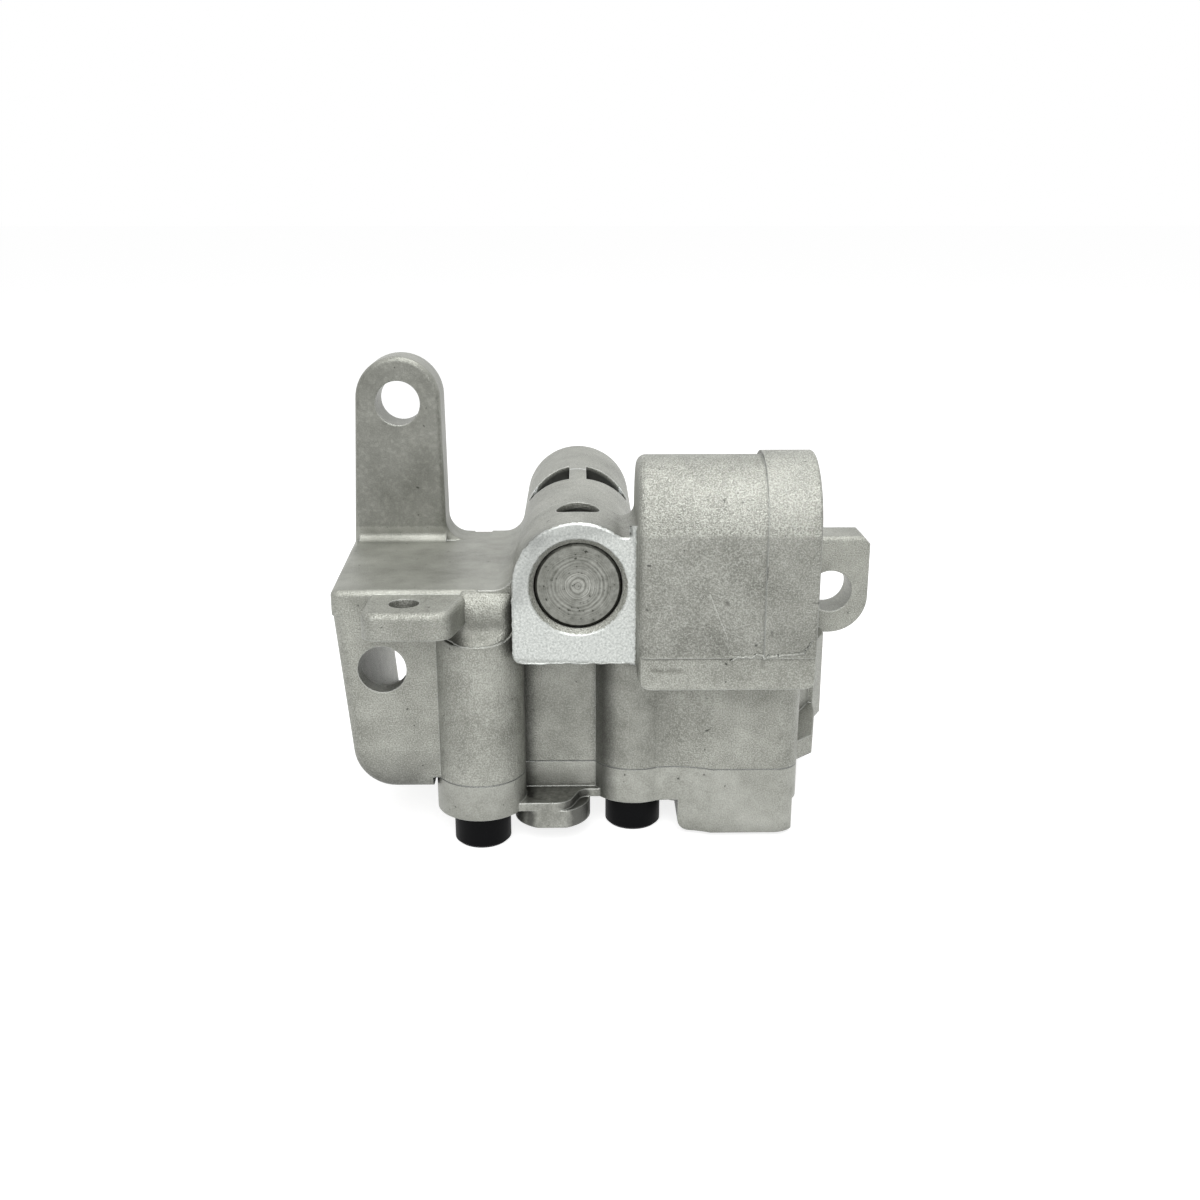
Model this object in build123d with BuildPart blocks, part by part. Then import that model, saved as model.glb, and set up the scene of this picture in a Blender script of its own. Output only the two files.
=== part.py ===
from build123d import *

import os
from math import acos, cos, pi, radians, sin, sqrt, tan

os.makedirs("parts", exist_ok=True)

# Engine oil pump: an external gear pump in a die-cast aluminium housing, with its
# relief valve in a cylinder across the top.
# Frame: +Z up, +X to the right, +Y towards the engine. The origin is on the drive
# shaft's axis, level with the underside of the drive boss and of the cover's block.

# ---- Gears (mm) -----------------------------------------------------------------
tooth_count = 9
gear_module = 2.5
pressure_angle = 25.0
gear_height = 18.0
gear_backlash = 0.30
root_depth = 3.05
tip_clearance = 0.10
end_float = 0.06

# ---- Shafts, bushes and their fixings -------------------------------------------
running_clearance = 0.03
shaft_r = 6.0
bush_wall = 1.5
upper_bush_length = 8.0
idler_r = 5.0
driven_bush_wall = 1.5
idler_cover_depth = 3.0
idler_bottom_gap = 0.2
shaft_chamfer = 0.6
shaft_top_gap = 0.3
drive_slot_width = 4.0
drive_slot_depth = 5.0
key_width = 3.0
key_depth_in_shaft = 1.6
key_depth_in_gear = 1.4
key_top_gap = 0.1
snap_ring_thickness = 1.0
snap_ring_width = 1.6
snap_ring_bite = 0.5
snap_ring_sink = 0.3
snap_ring_opening = 3.0
snap_ring_gap = 0.2

# ---- Cover and joint face -------------------------------------------------------
shoulder_length = 14.0
shoulder_middle = 6.2
shoulder_sag = 1.45
shoulder_start = 0.05
side_bend_y = -9.0
rear_bend_y = 2.0
flange_inset = 2.3
front_right_r = 4.5
column_neck_r = 1.5
recess_corner_r = 2.0
side_bend_r = 4.0
outline_corner_r = 2.0
cover_depth = 12.6
cover_plate = 6.6
cover_lip = 1.55
lip_ahead = 0.3
lip_overrun = 0.3
lip_step = 1.2
lip_cut = 2.3
lip_front_r = 3.4
lip_root_r = 2.0
lobe_boss_depth = 3.35
lobe_boss_r = 6.9
lobe_offset = 4.9
lobe_ahead = 0.7
pilot_depth = 4.6
pilot_bore_r = 8.5
drive_boss_wall = 2.6
drive_boss_chamfer = 1.0
block_width = 21.0
block_length = 24.0
block_inset = 0.9
block_left_r = 2.0
block_right_r = 3.6

# ---- Screws and dowels ----------------------------------------------------------
screw_r = 2.95
screw_thread_gap = 0.05
screw_clearance = 0.35
screw_head_r = 5.1
screw_head_height = 7.0
screw_depth_in_body = 14.0
socket_width = 5.0
socket_depth = 3.0
dowel_r = 2.5
dowel_length = 10.0
edge_break = 0.5

# ---- Housing walls --------------------------------------------------------------
boss_ahead = 10.9
panel_setback = 4.1
right_front_ahead = 4.3
front_wall = 4.85
rear_wall = 2.65
bearing_roof = 2.5
column_r = 8.0
left_column_offset = 16.3
right_column_setback = 3.9
right_wall = 4.85
rear_right_reach = 8.4
rear_screw_inset = 8.0
rear_right_screw_inset = 0.8
left_dowel_offset = 5.15
left_dowel_y = -6.5
right_dowel_offset = 4.65
right_dowel_y = -1.5
left_column_above_chamber = 7.74
flange_thickness = 3.6
flange_nose = (3.3, 3.0)
flange_waist = (5.6, 14.1)
flange_tail = (6.1, 19.7)
column_bend_y = 4.7
column_above_lug_foot = 1.0

# ---- Left housing, table and ear ------------------------------------------------
table_above_chamber = 16.64
table_width = 42.3
table_flare = 1.8
table_edge = 4.5
table_thickness = 4.3
table_corner_r = 1.5
table_rim_r = 1.1
left_wall_taper = 5.0
left_wall = 2.4
left_floor_drop = 2.3
left_floor = 5.0
left_corner_r = 7.5
left_floor_r = 2.5
pocket_wall = 3.0
scoop_r = 4.2
scoop_setback = 0.1
front_panel = 3.5
ear_width = 14.5
ear_flare = 2.4
ear_reach = 11.0
ear_thickness = 4.6
ear_step = 0.7
ear_corner_r = 3.0
ear_edge_r = 1.2
ear_offset = 5.5
ear_hole_shift = 0.5
ear_hole_r = 2.55
ear_hole_ahead = 0.9

# ---- Mounting lugs and holes ----------------------------------------------------
mount_offset = 34.0
right_lug_offset = 10.1
mount_hole_r = 4.2
lug_thickness = 8.0
left_lug_r = 8.05
left_lug_hole_rise = 26.8
left_lug_top_rise = 35.5
left_lug_fillet = 4.0
left_lug_draft = 0.3
left_lug_flare = 1.5
lug_foot_r = 1.6
lug_edge_r = 1.0
right_lug_chamfer = 1.4
right_lug_rise = 0.4
right_lug_drop = 10.7
right_lug_reach = 7.4
right_lug_below = 8.5
wall_hole_drop = 14.2

# ---- Relief valve ---------------------------------------------------------------
valve_offset = 1.3
valve_r = 10.85
valve_bore_r = 7.5
valve_length = 74.9
valve_dome_r = 4.0
valve_above_chamber = 18.3
boss_r = 11.2
boss_drop = 13.65
boss_cutter_r = 1.4
boss_corner_r = 1.5
boss_edge_r = 0.5
valve_seat_y = 50.0
pressure_bore_r = 5.5
pressure_bore_length = 16.0
pressure_hole_r = 4.0
vent_hole_r = 3.75
vent_hole_y = 11.3
window_y = 43.2
window_half_width = 9.6
window_half_length = 6.35
window_rib = 3.3
window_floor_rise = 3.0
plug_gap = 0.20
plug_sink = 1.0
plug_length = 6.6
plug_chamfer = 0.4
mouth_chamfer = 1.0
plug_pin_r = 1.5
plug_pin_reach = 4.0
plug_pin_sink = 0.4
plug_pin_chamfer = 0.3
piston_length = 22.0
piston_wall = 1.9
piston_crown = 4.4
piston_groove = 0.4
piston_groove_pitch = 4.0
spring_wire_r = 0.7
spring_side_gap = 0.45
spring_turns = 9
shim_thickness = 0.8
shim_hole_r = 2.5

# ---- Suction socket and ports ---------------------------------------------------
arch_step = 4.3
arch_gap = 9.9
arch_web_r = 2.0
arch_r = 11.1
arch_above_valve = 9.94
arch_length = 29.8
arch_below_valve = 16.9
collar_swell = 0.5
collar_shift = 0.2
collar_rise = 0.15
collar_rim_r = 0.6
collar_length = 8.8
arch_end_r = 1.6
arch_left_foot_r = 2.4
arch_right_foot_r = 1.8
ledge_rise = 5.7
ledge_step = 0.35
socket_bore_r = 8.4
socket_length = 9.0
suction_bore_r = 7.4
suction_end_wall = 4.0
suction_drop_r = 4.5
suction_ring_r = 0.9
suction_ring_depth = 4.5
passage_offset = 6.5
passage_setback = 1.1
port_reach = 2.0
port_depth = 3.6
port_width = 7.0
outlet_r = 5.0
outlet_mouth_depth = 3.5
outlet_bore_r = 4.2
outlet_ring_r = 0.9
outlet_ring_gap = 1.0

# ---- Places worked out from the sizes above -------------------------------------
pitch_r = gear_module * tooth_count / 2
centre_distance = 2 * pitch_r
tip_r = pitch_r + gear_module
root_r = pitch_r - root_depth
base_r = pitch_r * cos(radians(pressure_angle))
chamber_r = tip_r + tip_clearance
driven_x = -centre_distance

joint_z = cover_depth
gear_z = joint_z + end_float / 2
chamber_top_z = joint_z + gear_height + end_float
housing_top_z = chamber_top_z + upper_bush_length + bearing_roof
plate_z = joint_z - cover_plate
table_z = chamber_top_z + table_above_chamber
valve_z = chamber_top_z + valve_above_chamber
outlet_z = joint_z + gear_height / 2

mount_y = chamber_r + rear_wall
recess_y = -(chamber_r + front_wall)
boss_y = recess_y - boss_ahead
panel_y = boss_y + panel_setback
arch_y = boss_y - arch_step
right_front_y = recess_y - right_front_ahead

valve_x = driven_x + valve_offset
left_column = (driven_x - left_column_offset, boss_y + column_r)
right_column = (driven_x / 2 + 0.05, recess_y + right_column_setback)
cover_left_x = left_column[0] - column_r
right_x = chamber_r + right_wall
rear_right_x = right_x + rear_right_reach
table_left_x = valve_x - table_width
rear_left_screw = (left_column[0], mount_y - rear_screw_inset)
rear_right_screw = (right_x - rear_right_screw_inset, mount_y - rear_screw_inset)
screw_places = [left_column, right_column, rear_left_screw, rear_right_screw]
left_dowel = (driven_x - chamber_r - left_dowel_offset, left_dowel_y)
right_dowel = (chamber_r + right_dowel_offset, right_dowel_y)
dowel_places = [left_dowel, right_dowel]
mount_x = valve_x - mount_offset
right_lug_x = right_x + right_lug_offset


def wall_plane(y):
    """Upright plane at a depth y: sketch x is the part's X, sketch y its Z."""
    return Plane(origin=(0, y, 0), x_dir=(1, 0, 0), z_dir=(0, -1, 0))


def nearest(corners, x, y):
    """The corner of a sketch that lies nearest to a point."""
    return corners.sort_by(lambda corner: (corner.X - x) ** 2 + (corner.Y - y) ** 2)[0]


# ---- The joint face: one outline for the cover and for the housing above it -----
shoulder_foot = (right_column[0], right_column[1] - column_r + shoulder_start)
shoulder_end = (right_column[0] + shoulder_length, right_front_y)
outline_right_x = rear_right_x - flange_inset
with BuildSketch() as joint_outline:
    with BuildLine():
        Polyline(
            (cover_left_x, left_column[1]),
            (left_column[0], left_column[1]),
            (left_column[0], recess_y),
            (right_column[0], recess_y),
            shoulder_foot,
        )
        ThreePointArc(
            shoulder_foot,
            (right_column[0] + shoulder_middle, right_front_y + shoulder_sag),
            shoulder_end,
        )
        Polyline(
            shoulder_end,
            (right_x, right_front_y),
            (right_x, side_bend_y),
            (outline_right_x, rear_bend_y),
            (outline_right_x, mount_y),
            (cover_left_x, mount_y),
            (cover_left_x, left_column[1]),
        )
    make_face()
    with Locations(left_column, right_column):
        Circle(column_r)
    corners = joint_outline.vertices()
    fillet(nearest(corners, right_x, right_front_y), front_right_r)
    fillet(nearest(corners, left_column[0] + column_r, recess_y), column_neck_r)
    fillet(nearest(corners, right_column[0] - column_r, recess_y), recess_corner_r)
    fillet(nearest(corners, right_x, side_bend_y), side_bend_r)
    fillet(nearest(corners, outline_right_x, mount_y), outline_corner_r)
    fillet(nearest(corners, cover_left_x, mount_y), outline_corner_r)

# ---- Housing features that get their roundings before they join the body --------
floor_z = joint_z - left_floor_drop
wall_foot_z = table_z - table_edge
wall_run = (wall_foot_z - floor_z) * tan(radians(left_wall_taper))
boss_left_x = valve_x - boss_r
panel_left_x = cover_left_x - 0.4

with BuildPart() as left_housing:
    with BuildSketch(wall_plane(panel_y)):
        with BuildLine():
            FilletPolyline(
                (table_left_x, wall_foot_z),
                (table_left_x + wall_run, floor_z),
                (panel_left_x, floor_z),
                radius=left_corner_r,
            )
            Polyline(
                (panel_left_x, floor_z),
                (panel_left_x, joint_z),
                (boss_left_x, joint_z),
                (boss_left_x, wall_foot_z),
                (table_left_x, wall_foot_z),
            )
        make_face()
    extrude(amount=-(mount_y - panel_y))
    low_front = left_housing.edges().filter_by(Axis.X).group_by(Axis.Y)[0]
    fillet(low_front.sort_by(Axis.Z)[0], left_floor_r)

with BuildPart() as table:
    with BuildSketch(Plane.XY.offset(wall_foot_z)):
        with BuildLine():
            Polyline(
                (valve_x, panel_y),
                (table_left_x, panel_y),
                (table_left_x - table_flare, mount_y),
                (valve_x, mount_y),
                close=True,
            )
        make_face()
    extrude(amount=table_edge)
    fillet(table.edges().filter_by(Axis.Z).sort_by(Axis.X)[:2], table_corner_r)
    top_edges = table.edges().group_by(Axis.Z)[-1].filter_by(GeomType.LINE)
    fillet(top_edges.sort_by(Axis.X)[0], table_rim_r)

ear_z = table_z - ear_step
ear_x = mount_x + ear_offset
with BuildPart() as ear:
    with BuildSketch(Plane.XY.offset(ear_z)):
        with BuildLine():
            Polyline(
                (ear_x - ear_width / 2, panel_y + front_panel),
                (ear_x - ear_width / 2, panel_y - ear_reach),
                (ear_x + ear_width / 2, panel_y - ear_reach),
                (ear_x + ear_width / 2 + ear_flare, panel_y),
                (ear_x + ear_width / 2 + ear_flare, panel_y + front_panel),
                close=True,
            )
        make_face()
    extrude(amount=-ear_thickness)
    fillet(ear.edges().filter_by(Axis.Z).group_by(Axis.Y)[0], ear_corner_r)
    rim = ear.faces().sort_by(Axis.Z)[-1].edges()
    fillet(rim.filter_by(lambda edge: edge.center().Y < panel_y), ear_edge_r)

lug_top_z = table_z + left_lug_top_rise
lug_foot_x = mount_x + left_lug_r + left_lug_draft
lug_front_y = mount_y - lug_thickness
with BuildPart() as left_lug:
    with BuildSketch(wall_plane(mount_y)) as lug_face:
        with Locations((mount_x, lug_top_z - left_lug_r)):
            Circle(left_lug_r)
        with BuildLine():
            Polyline(
                (mount_x - left_lug_r, lug_top_z - left_lug_r),
                (mount_x + left_lug_r, lug_top_z - left_lug_r),
                (lug_foot_x, table_z),
                (lug_foot_x + left_lug_fillet + 1.0, table_z),
                (lug_foot_x + left_lug_fillet + 1.0, wall_foot_z),
                (mount_x - left_lug_r, wall_foot_z),
                (mount_x - left_lug_r - left_lug_flare, table_z - table_rim_r),
                (mount_x - left_lug_r, lug_top_z - left_lug_r),
            )
        make_face()
        fillet(
            nearest(lug_face.vertices(), lug_foot_x, table_z),
            left_lug_fillet,
        )
    extrude(amount=lug_thickness)
    rim = left_lug.faces().sort_by(Axis.Y)[0].edges()
    fillet(rim.filter_by(lambda edge: edge.center().Z > table_z + left_lug_fillet), lug_edge_r)
    # Hollow rounding along the foot of its front face.
    with BuildSketch(Plane.YZ.offset(mount_x - left_lug_r - left_lug_flare + lug_edge_r)):
        with Locations((lug_front_y, table_z)):
            Rectangle(lug_foot_r, lug_foot_r, align=(Align.MAX, Align.MIN))
        with Locations((lug_front_y - lug_foot_r, table_z + lug_foot_r)):
            Circle(lug_foot_r, mode=Mode.SUBTRACT)
    extrude(amount=2 * left_lug_r + left_lug_flare + left_lug_draft - lug_edge_r)

right_lug_top_z = table_z + right_lug_rise
right_lug_foot_z = table_z - right_lug_drop - right_lug_below
with BuildPart() as right_lug:
    with BuildSketch(wall_plane(mount_y)) as right_face:
        with BuildLine():
            Polyline(
                (right_x - right_wall, right_lug_top_z),
                (right_lug_x + right_lug_reach, right_lug_top_z),
                (right_lug_x + right_lug_reach, right_lug_foot_z),
                (right_x - right_wall, right_lug_foot_z),
                close=True,
            )
        make_face()
        chamfer(
            nearest(right_face.vertices(), right_lug_x + right_lug_reach, right_lug_top_z),
            right_lug_chamfer,
        )
        fillet(
            nearest(right_face.vertices(), right_lug_x + right_lug_reach, joint_z),
            right_lug_reach,
        )
    extrude(amount=lug_thickness)
    front_edges = right_lug.edges().filter_by(Axis.X).group_by(Axis.Y)[0]
    fillet(front_edges.sort_by(Axis.Z)[-1], lug_edge_r)

with BuildPart() as valve_cylinder:
    with BuildSketch(wall_plane(boss_y + boss_edge_r)):
        with Locations((valve_x, valve_z)):
            Circle(valve_r)
    extrude(amount=boss_edge_r - valve_length)
    rear_rim = valve_cylinder.edges().filter_by(GeomType.CIRCLE).sort_by(Axis.Y)[-1]
    fillet(rear_rim, valve_dome_r)

arch_left_x = valve_x + arch_gap
arch_right_x = arch_left_x + arch_length
arch_axis = (arch_y + arch_r, valve_z + arch_above_valve)
arch_foot_z = valve_z - arch_below_valve
ledge_z = arch_foot_z + ledge_rise
with BuildPart() as suction_arch:
    with BuildSketch(Plane.YZ.offset(arch_left_x)):
        with Locations(arch_axis):
            Circle(arch_r)
        with BuildLine():
            Polyline(
                (arch_y, arch_axis[1]),
                (arch_y, ledge_z),
                (arch_y + ledge_step, ledge_z),
                (arch_y + ledge_step, arch_foot_z),
                (arch_y + 2 * arch_r, arch_foot_z),
                (arch_y + 2 * arch_r, arch_axis[1]),
                close=True,
            )
        make_face()
    extrude(amount=arch_length)
    left_rim = suction_arch.faces().sort_by(Axis.X)[0].edges()
    fillet(left_rim.filter_by(lambda edge: edge.center().Z > ledge_z), arch_end_r)
    # Rounded low corners, cut through from front to back.
    with BuildSketch(wall_plane(arch_y)):
        for x, side, r in (
            (arch_left_x, Align.MIN, arch_left_foot_r),
            (arch_right_x, Align.MAX, arch_right_foot_r),
        ):
            with Locations((x, arch_foot_z)):
                Rectangle(r, r, align=(side, Align.MIN))
        with Locations((arch_left_x + arch_left_foot_r, arch_foot_z + arch_left_foot_r)):
            Circle(arch_left_foot_r, mode=Mode.SUBTRACT)
        with Locations((arch_right_x - arch_right_foot_r, arch_foot_z + arch_right_foot_r)):
            Circle(arch_right_foot_r, mode=Mode.SUBTRACT)
    extrude(amount=-2 * arch_r, mode=Mode.SUBTRACT)

with BuildPart() as suction_collar:
    with BuildSketch(Plane.YZ.offset(arch_right_x - collar_length)):
        with Locations((arch_axis[0] + collar_shift, arch_axis[1] + collar_rise)):
            Circle(arch_r + collar_swell)
        with Locations(arch_axis):
            Rectangle(
                2 * (arch_r + collar_swell - collar_shift),
                arch_axis[1] - ledge_z,
                align=(Align.CENTER, Align.MAX),
            )
    extrude(amount=collar_length)
    fillet(suction_collar.faces().sort_by(Axis.X)[-1].edges(), collar_rim_r)

# The web is a concave arc that touches the boss's round and the arch's end wall.
web_run = arch_gap - arch_web_r
web_rise = sqrt((boss_r + arch_web_r) ** 2 - web_run**2)
web_share = boss_r / (boss_r + arch_web_r)
web_turn = acos(-web_run / (boss_r + arch_web_r))
web_on_arch = (arch_left_x, valve_z + web_rise)
web_on_boss = (valve_x + web_run * web_share, valve_z + web_rise * web_share)
web_middle = (
    arch_left_x - arch_web_r + arch_web_r * cos(web_turn / 2),
    valve_z + web_rise - arch_web_r * sin(web_turn / 2),
)
with BuildPart() as valve_boss:
    with BuildSketch(wall_plane(boss_y)) as boss_face:
        with Locations((valve_x, valve_z)):
            Circle(boss_r)
        with BuildLine():
            Polyline(
                (boss_left_x, valve_z),
                (boss_left_x, valve_z - boss_drop),
                (arch_left_x + arch_r, valve_z - boss_drop),
                (arch_left_x + arch_r, valve_z + arch_above_valve),
                (arch_left_x, valve_z + arch_above_valve),
                (arch_left_x, valve_z),
                close=True,
            )
        make_face()
        corner = nearest(boss_face.vertices(), boss_left_x, valve_z - boss_drop)
        fillet(corner, boss_corner_r)
        with BuildLine():
            ThreePointArc(web_on_arch, web_middle, web_on_boss)
            Polyline(web_on_boss, (valve_x, valve_z), (arch_left_x, valve_z), web_on_arch)
        make_face()
    extrude(amount=-(2 * arch_r - arch_step - boss_corner_r))
    boss_rim = valve_boss.faces().sort_by(Axis.Y)[0].edges()
    free_rim = boss_rim.filter_by(lambda edge: edge.center().X < arch_left_x - boss_edge_r)
    fillet(free_rim, boss_edge_r)
    # Rounding that the facing cutter leaves against the arch's end wall.
    with BuildSketch(Plane.XY.offset(valve_z - boss_drop)):
        with Locations((arch_left_x, boss_y)):
            Rectangle(boss_cutter_r, boss_cutter_r, align=(Align.MAX, Align.MAX))
        with Locations((arch_left_x - boss_cutter_r, boss_y - boss_cutter_r)):
            Circle(boss_cutter_r, mode=Mode.SUBTRACT)
    extrude(amount=boss_drop + web_rise)

# ---- Pump body ------------------------------------------------------------------
pocket_right_x = cover_left_x - pocket_wall
passage_x = driven_x / 2 + passage_offset
passage_y = recess_y + passage_setback
pocket_left_x = table_left_x + left_wall
pocket_run = (table_z - table_thickness - floor_z - left_floor) * tan(
    radians(left_wall_taper)
)
ear_hole_y = boss_y - ear_hole_ahead
bush_bore_r = shaft_r + bush_wall
plug_pin_y = boss_y + plug_sink + plug_length / 2
mount_holes = [
    (mount_x, table_z + left_lug_hole_rise),
    (right_lug_x, table_z - right_lug_drop),
]

with BuildPart() as pump_body:
    # Gear housing over the joint outline, with the flange and column at its right.
    with BuildSketch(Plane.XY.offset(joint_z)):
        add(joint_outline.sketch)
    extrude(amount=housing_top_z - joint_z)
    with BuildSketch(Plane.XY.offset(joint_z)):
        with BuildLine():
            Polyline(
                (chamber_r, recess_y),
                (right_x, recess_y),
                (right_x + flange_nose[0], recess_y + flange_nose[1]),
                (right_x + flange_waist[0], recess_y + flange_waist[1]),
                (right_x + flange_tail[0], recess_y + flange_tail[1]),
                (chamber_r, recess_y + flange_tail[1]),
                close=True,
            )
        make_face()
    extrude(amount=flange_thickness)
    with BuildSketch(Plane.XY.offset(joint_z)):
        with BuildLine():
            Polyline(
                (chamber_r, recess_y + flange_tail[1] - 0.8),
                (right_x + flange_tail[0], recess_y + flange_tail[1] - 0.8),
                (rear_right_x, column_bend_y),
                (rear_right_x, mount_y),
                (chamber_r, mount_y),
                close=True,
            )
        make_face()
    extrude(amount=right_lug_foot_z + column_above_lug_foot - joint_z)

    # Hollow housing, table and ear at the left, with the scoop over the front column.
    add(left_housing.part)
    add(table.part)
    with BuildSketch(Plane.YZ.offset(cover_left_x - 1.0)):
        with Locations((boss_y - scoop_setback, chamber_top_z + left_column_above_chamber + scoop_r)):
            Circle(scoop_r)
    extrude(amount=boss_left_x - cover_left_x + 1.0, mode=Mode.SUBTRACT)
    add(ear.part)
    add(left_lug.part)
    add(right_lug.part)

    # Valve cylinder, rounded into the table, and the boss at its front end.
    with BuildSketch(wall_plane(panel_y)) as saddle:
        with Locations((valve_x, valve_z)):
            Circle(valve_r)
        with Locations((boss_left_x - left_lug_fillet - 2.0, wall_foot_z)):
            Rectangle(valve_r + left_lug_fillet, table_edge, align=(Align.MIN, Align.MIN))
        fillet(nearest(saddle.vertices(), boss_left_x, table_z), left_lug_fillet)
    extrude(amount=-(mount_y - panel_y))
    add(valve_boss.part)
    add(valve_cylinder.part)
    add(suction_arch.part)
    add(suction_collar.part)

    # Gear chamber, bearing bores, and the ports in and out.
    with BuildSketch(Plane.XY.offset(joint_z)):
        with Locations((0, 0), (driven_x, 0)):
            Circle(chamber_r)
    extrude(amount=chamber_top_z - joint_z, mode=Mode.SUBTRACT)
    with BuildSketch(Plane.XY.offset(chamber_top_z)):
        Circle(bush_bore_r)
        with Locations((driven_x, 0)):
            Circle(idler_r)
    extrude(amount=upper_bush_length, mode=Mode.SUBTRACT)
    with BuildSketch(wall_plane(mount_y)):
        with Locations((driven_x / 2, outlet_z)):
            Circle(outlet_r)
    extrude(amount=outlet_mouth_depth, mode=Mode.SUBTRACT)
    with BuildSketch(wall_plane(mount_y)):
        with Locations((driven_x / 2, outlet_z)):
            Circle(outlet_bore_r)
    extrude(amount=mount_y - outlet_r, mode=Mode.SUBTRACT)
    with BuildSketch(wall_plane(mount_y)):
        with Locations((driven_x / 2, outlet_z)):
            Circle(outlet_r + outlet_ring_gap + 2 * outlet_ring_r)
            Circle(outlet_r + outlet_ring_gap, mode=Mode.SUBTRACT)
    extrude(amount=2 * outlet_ring_r, mode=Mode.SUBTRACT)
    with BuildSketch(Plane.XY.offset(chamber_top_z)):
        with Locations((passage_x, passage_y), (driven_x / 2, -chamber_r / 2 - port_reach)):
            Circle(port_width / 2)
        make_hull()
    extrude(amount=port_depth, mode=Mode.SUBTRACT)

    # Suction: the pipe socket with its ring groove, the bore, and the drop to the port.
    with BuildSketch(Plane.YZ.offset(arch_left_x + suction_end_wall)):
        with Locations(arch_axis):
            Circle(suction_bore_r)
    extrude(amount=arch_length, mode=Mode.SUBTRACT)
    with BuildSketch(Plane.YZ.offset(arch_right_x - socket_length)):
        with Locations(arch_axis):
            Circle(socket_bore_r)
    extrude(amount=socket_length + 1.0, mode=Mode.SUBTRACT)
    with BuildSketch(Plane.YZ.offset(arch_right_x - suction_ring_depth - suction_ring_r)):
        with Locations(arch_axis):
            Circle(socket_bore_r + 2 * suction_ring_r)
    extrude(amount=2 * suction_ring_r, mode=Mode.SUBTRACT)
    with BuildSketch(Plane.XY.offset(chamber_top_z)):
        with Locations((passage_x, passage_y)):
            Circle(suction_drop_r)
    extrude(amount=arch_axis[1] - chamber_top_z, mode=Mode.SUBTRACT)

    # Valve bore, stepped for the piston's seat, with its mouth, windows and holes.
    with BuildSketch(wall_plane(boss_y)):
        with Locations((valve_x, valve_z)):
            Circle(valve_bore_r)
    extrude(amount=-valve_seat_y, mode=Mode.SUBTRACT)
    with BuildSketch(wall_plane(boss_y + valve_seat_y)):
        with Locations((valve_x, valve_z)):
            Circle(pressure_bore_r)
    extrude(amount=-pressure_bore_length, mode=Mode.SUBTRACT)
    with BuildSketch(wall_plane(boss_y)):
        with Locations((valve_x, valve_z)):
            Circle(valve_bore_r + mouth_chamfer)
    extrude(amount=-mouth_chamfer, taper=45, mode=Mode.SUBTRACT)
    with BuildSketch(Plane.XY.offset(valve_z + window_floor_rise)):
        with Locations((valve_x, boss_y + window_y)):
            Ellipse(window_half_width, window_half_length)
            Rectangle(window_rib, 4 * window_half_length, mode=Mode.SUBTRACT)
    extrude(amount=valve_r, mode=Mode.SUBTRACT)
    with BuildSketch(Plane.XY.offset(valve_z)):
        with Locations((valve_x, boss_y + vent_hole_y)):
            Circle(vent_hole_r)
    extrude(amount=valve_r + 1.0, mode=Mode.SUBTRACT)
    with BuildSketch(Plane.XY.offset(valve_z)):
        with Locations((valve_x, boss_y + valve_seat_y + pressure_bore_length / 2)):
            Circle(pressure_hole_r)
    extrude(amount=-valve_r - 1.0, mode=Mode.SUBTRACT)
    with BuildSketch(Plane.XY.offset(valve_z + plug_pin_reach)):
        with Locations((valve_x, plug_pin_y)):
            Circle(plug_pin_r)
    extrude(amount=-plug_pin_reach - boss_drop, mode=Mode.SUBTRACT)

    # Pocket of the left housing, open towards the engine.
    with BuildSketch(wall_plane(panel_y + front_panel)):
        with BuildLine():
            Polyline(
                (pocket_right_x, floor_z + left_floor),
                (pocket_right_x, table_z - table_thickness),
                (pocket_left_x, table_z - table_thickness),
                (pocket_left_x + pocket_run, floor_z + left_floor),
                close=True,
            )
        make_face()
    extrude(amount=-(mount_y - panel_y), mode=Mode.SUBTRACT)

    # Mounting holes, the ear's threaded hole, and the holes under the joint face.
    with BuildSketch(wall_plane(mount_y)):
        with Locations(*mount_holes):
            Circle(mount_hole_r)
    extrude(amount=lug_thickness, mode=Mode.SUBTRACT)
    with BuildSketch(wall_plane(panel_y)):
        with Locations((mount_x, table_z - wall_hole_drop)):
            Circle(mount_hole_r)
    extrude(amount=-front_panel, mode=Mode.SUBTRACT)
    with BuildSketch(Plane.XY.offset(ear_z)):
        with Locations((ear_x - ear_hole_shift, ear_hole_y)):
            Circle(ear_hole_r)
    extrude(amount=-ear_thickness, mode=Mode.SUBTRACT)
    with BuildSketch(Plane.XY.offset(joint_z)):
        with Locations(*screw_places):
            Circle(screw_r + screw_thread_gap)
    extrude(amount=screw_depth_in_body + 1.0, mode=Mode.SUBTRACT)
    with BuildSketch(Plane.XY.offset(joint_z)):
        with Locations(*dowel_places):
            Circle(dowel_r)
    extrude(amount=dowel_length / 2, mode=Mode.SUBTRACT)

pump_body.part.label = "pump_body"
export_step(pump_body.part, "parts/pump_body.step")

# ---- Pump cover -----------------------------------------------------------------
lip_y = panel_y - lip_ahead
lip_right_x = valve_x + lip_overrun
lip_root_y = recess_y - lip_step
lobe_place = (valve_x - lobe_offset, recess_y - lobe_ahead)
with BuildPart() as cover_block:
    with BuildSketch():
        add(joint_outline.sketch)
    extrude(amount=plate_z)
    with BuildSketch(wall_plane(right_front_y - 1.0)) as block_face:
        with Locations((right_x - block_inset, 0)):
            Rectangle(block_width, plate_z, align=(Align.MAX, Align.MIN))
        low_corners = block_face.vertices().group_by(Axis.Y)[0].sort_by(Axis.X)
        fillet(low_corners[0], block_left_r)
        fillet(low_corners[-1], block_right_r)
    extrude(amount=-(block_length + 1.0), mode=Mode.INTERSECT)

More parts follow.
